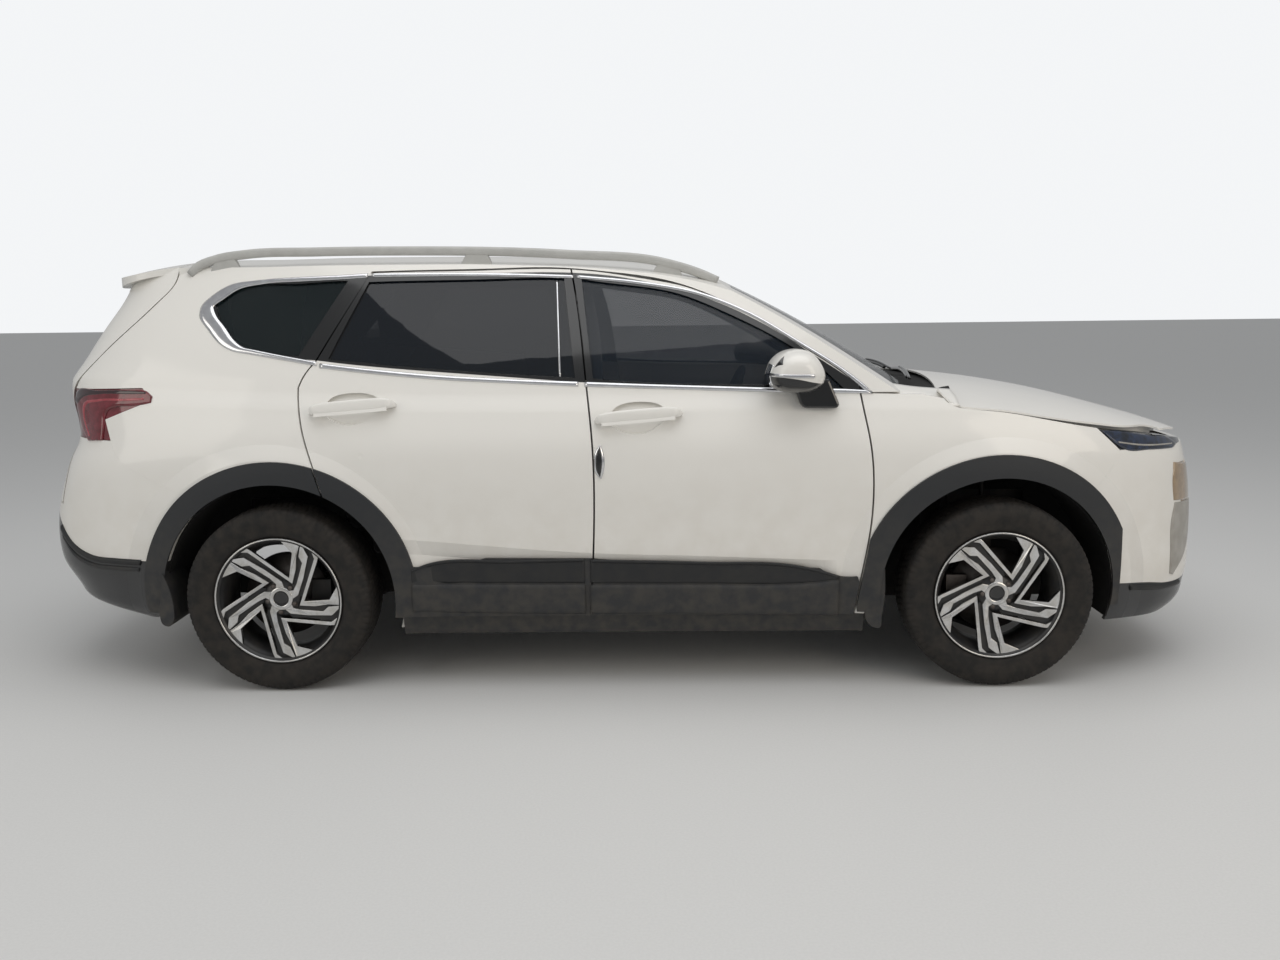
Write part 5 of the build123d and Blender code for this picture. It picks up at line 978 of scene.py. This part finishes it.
def tyre(place, side, axle, track):
    """Tyre whose radius falls in four grooves, exp(-((u - g) / w) ^ 2), in cuts across the shoulders and in
    fine cuts across the ribs, each where a sine of the angle and the width passes a threshold."""
    crown = [(u, AXLE_HEIGHT - CROWN_DROP * (u / CROWN_AT) ** 2) for u in CROWN_STATIONS]
    half = SIDEWALL + crown
    u, v = np.array(half + [(-u, v) for u, v in half[::-1][1:]], float).T
    angle = np.linspace(0, 2 * np.pi, TYRE_STEPS, endpoint=False)[:, None]
    on_tread = np.abs(u) < 75
    grooves = sum(np.exp(-((u - g) / GROOVE_HALF_WIDTH) ** 2) for g in GROOVES) * GROOVE_DEPTH * on_tread
    shoulder = smooth_step(76, 84, np.abs(u)) * (1 - smooth_step(112, 116, np.abs(u)))
    shoulder = shoulder * smooth_step(322, 340, v)
    cuts = (np.sin(angle * LUGS + np.sign(u) * 0.6) > 0.72) * shoulder * 3.2
    ribs = (np.sin(angle * LUGS + u * 0.06) > 0.80) * (np.abs(u) < 60) * 4.0
    radius, out = v - grooves - cuts * 0.8 - ribs, u - np.sign(u) * cuts * 0.5
    points = np.stack([axle + radius * np.cos(angle), -(track / 2 + out),
                       AXLE_HEIGHT + radius * np.sin(angle)], -1)
    name, faces = f"{place}_{side}", grid_faces(TYRE_STEPS, len(u), True, True)
    outward_faces(piece(f"{name}_treaded_tyre", both(points, side), faces, TYRE, f"{name}_wheel", "tyre",
                        replaces=(f"{name}_tyre",)))


for place, axle, track, tilt in (("front", FRONT_AXLE, FRONT_TRACK, 0.0),
                                 ("rear", REAR_AXLE, REAR_TRACK, math.radians(9))):
    for side in ("right", "left"):
        wheel(place, side, axle, track, tilt)
        tyre(place, side, axle, track)


# ---------------------------------------------------------------- seats
SEAT_POLES = 1e-5             # joins the points of a cushion's poles (m)


def cushion(name, centre, size, lean, replaces=(), bolster=0.25, power=0.35, rows=28, columns=56):
    """Padded block: a superellipsoid, |cos|^power and |sin|^power, with raised sides, leaned back about Y."""
    u = np.linspace(-np.pi / 2, np.pi / 2, rows)[:, None]
    v = np.linspace(-np.pi, np.pi, columns, endpoint=False)[None]

    def soft(value):
        return np.sign(value) * np.abs(value) ** power
    x = soft(np.cos(u)) * soft(np.cos(v)) * size[0] / 2
    y = soft(np.cos(u)) * soft(np.sin(v)) * size[1] / 2
    z = soft(np.sin(u)) * size[2] / 2 * (1 + 0 * v)
    edge = smooth_step(0.55, 0.9, np.abs(y) / (size[1] / 2))
    z = z * (1 + bolster * edge * (z > 0))
    c, s = math.cos(lean), math.sin(lean)
    points = np.stack([centre[0] + x * c + z * s, centre[1] + y, centre[2] - x * s + z * c], -1)
    made = piece(name, points, grid_faces(rows, columns, wrap_columns=True), FABRIC, "body", "fabric",
                 replaces=replaces)
    outward_faces(made, SEAT_POLES)


def seat_row(name, x, places, node_name):
    """Cushion, back and head rest at each place (y, width) of a row; x is the cushion's rear end."""
    for index, (y, width) in enumerate(places):
        cushion(f"{name}_{index}_cushion", (x + 200, y, 530), (520, width - 8, 130), -0.06,
                (node_name,) if index == 0 else ())
        cushion(f"{name}_{index}_back", (x - 150, y, 850), (125, width - 10, 600), -0.27, bolster=0)
        cushion(f"{name}_{index}_head", (x - 240, y, 1240), (90, 240, 170), -0.2, bolster=0, power=0.5)


seat_row("front_seat", FRONT_AXLE - 1560, [(-375, 500), (375, 500)], "front_seats")
seat_row("rear_seat", FRONT_AXLE - 2440, [(-390, 440), (390, 440), (0, 330)], "rear_seats")


# ---------------------------------------------------------------- studio
FLOOR_HALF = 60.0             # metres
SOFTBOXES = (                 # name, place (m), side (m), power (W), colour
    ("overhead_softbox", (0.5, -1.5, 6.5), 7.0, 215, "FFFFFF"),
    ("front_softbox", (5.5, -6.0, 3.2), 3.5, 95, "FFF3E2"),
    ("rear_softbox", (-6.0, -5.0, 3.4), 4.0, 75, "FFFAF0"))
LAMP_AIM = Vector((0, 0, 0.8))
EYE = (0.163, -5.030, 1.490)
YAW, PITCH, ROLL = math.radians(1.12), math.radians(9.25), math.radians(-0.69)
SENSOR_MM, LENS_MM = 36, 31.08


def studio():
    """Pale floor, white surroundings that light less than they show, and three soft lamps."""
    floor_mesh = bpy.data.meshes.new("studio_floor")
    corners = [(x * FLOOR_HALF, y * FLOOR_HALF, 0) for x, y in ((-1, -1), (1, -1), (1, 1), (-1, 1))]
    floor_mesh.from_pydata(corners, [], [(0, 1, 2, 3)])
    material, tree, shader = new_material("pale_floor", Roughness=0.55)
    shades = {0: mottled(tree, 8, 0.3, 0.7), 6: "D3D3D2", 7: "DCDCDB"}
    join(tree, shader, {"Base Color": node(tree, "ShaderNodeMix", shades, **COLOURS)})
    floor_mesh.materials.append(material)
    floor = bpy.data.objects.new("studio_floor", floor_mesh)
    bpy.context.scene.collection.objects.link(floor)
    world = bpy.data.worlds.new("white_surroundings")
    bpy.context.scene.world = world
    world.use_nodes = True
    tree = world.node_tree
    tree.nodes.clear()
    rays = [node(tree, "ShaderNodeLightPath", out=f"Is {kind} Ray") for kind in ("Camera", "Transmission")]
    seen = node(tree, "ShaderNodeMath", dict(enumerate(rays)), operation="MAXIMUM")
    strength = node(tree, "ShaderNodeMapRange", {"Value": seen, **span(0, 1, 0.40, 0.93)})
    sky = node(tree, "ShaderNodeBackground", {"Color": (0.97, 0.985, 1.0, 1), "Strength": strength})
    node(tree, "ShaderNodeOutputWorld", {"Surface": sky})
    for name, place, size, power, colour in SOFTBOXES:
        lamp = bpy.data.lights.new(name, "AREA")
        lamp.size, lamp.energy, lamp.color = size, power, linear(colour)[:3]
        made = bpy.data.objects.new(name, lamp)
        bpy.context.scene.collection.objects.link(made)
        made.location = place
        made.rotation_mode = "QUATERNION"
        made.rotation_quaternion = (LAMP_AIM - Vector(place)).to_track_quat("-Z", "Y")
    bpy.context.scene.view_settings.view_transform = "Standard"


def camera():
    """Nearly side-on at eye height, looking a little down, with a slight roll."""
    cy, sy, cp, sp = math.cos(YAW), math.sin(YAW), math.cos(PITCH), math.sin(PITCH)
    right, ahead = np.array([cy, sy, 0]), np.array([-sy * cp, cy * cp, -sp])
    up = np.array([-sy * sp, cy * sp, cp])
    cr, sr = math.cos(ROLL), math.sin(ROLL)
    right, up = cr * right + sr * up, -sr * right + cr * up
    data = bpy.data.cameras.new("eye")
    data.sensor_width, data.lens, data.sensor_fit = SENSOR_MM, LENS_MM, "HORIZONTAL"
    data.clip_start, data.clip_end = 0.05, 200
    made = bpy.data.objects.new("eye", data)
    bpy.context.scene.collection.objects.link(made)
    turn = Matrix([[right[i], up[i], -ahead[i], 0] for i in range(3)] + [[0, 0, 0, 1]])
    turn.translation = EYE
    made.matrix_world = turn
    bpy.context.scene.camera = made


studio()
camera()
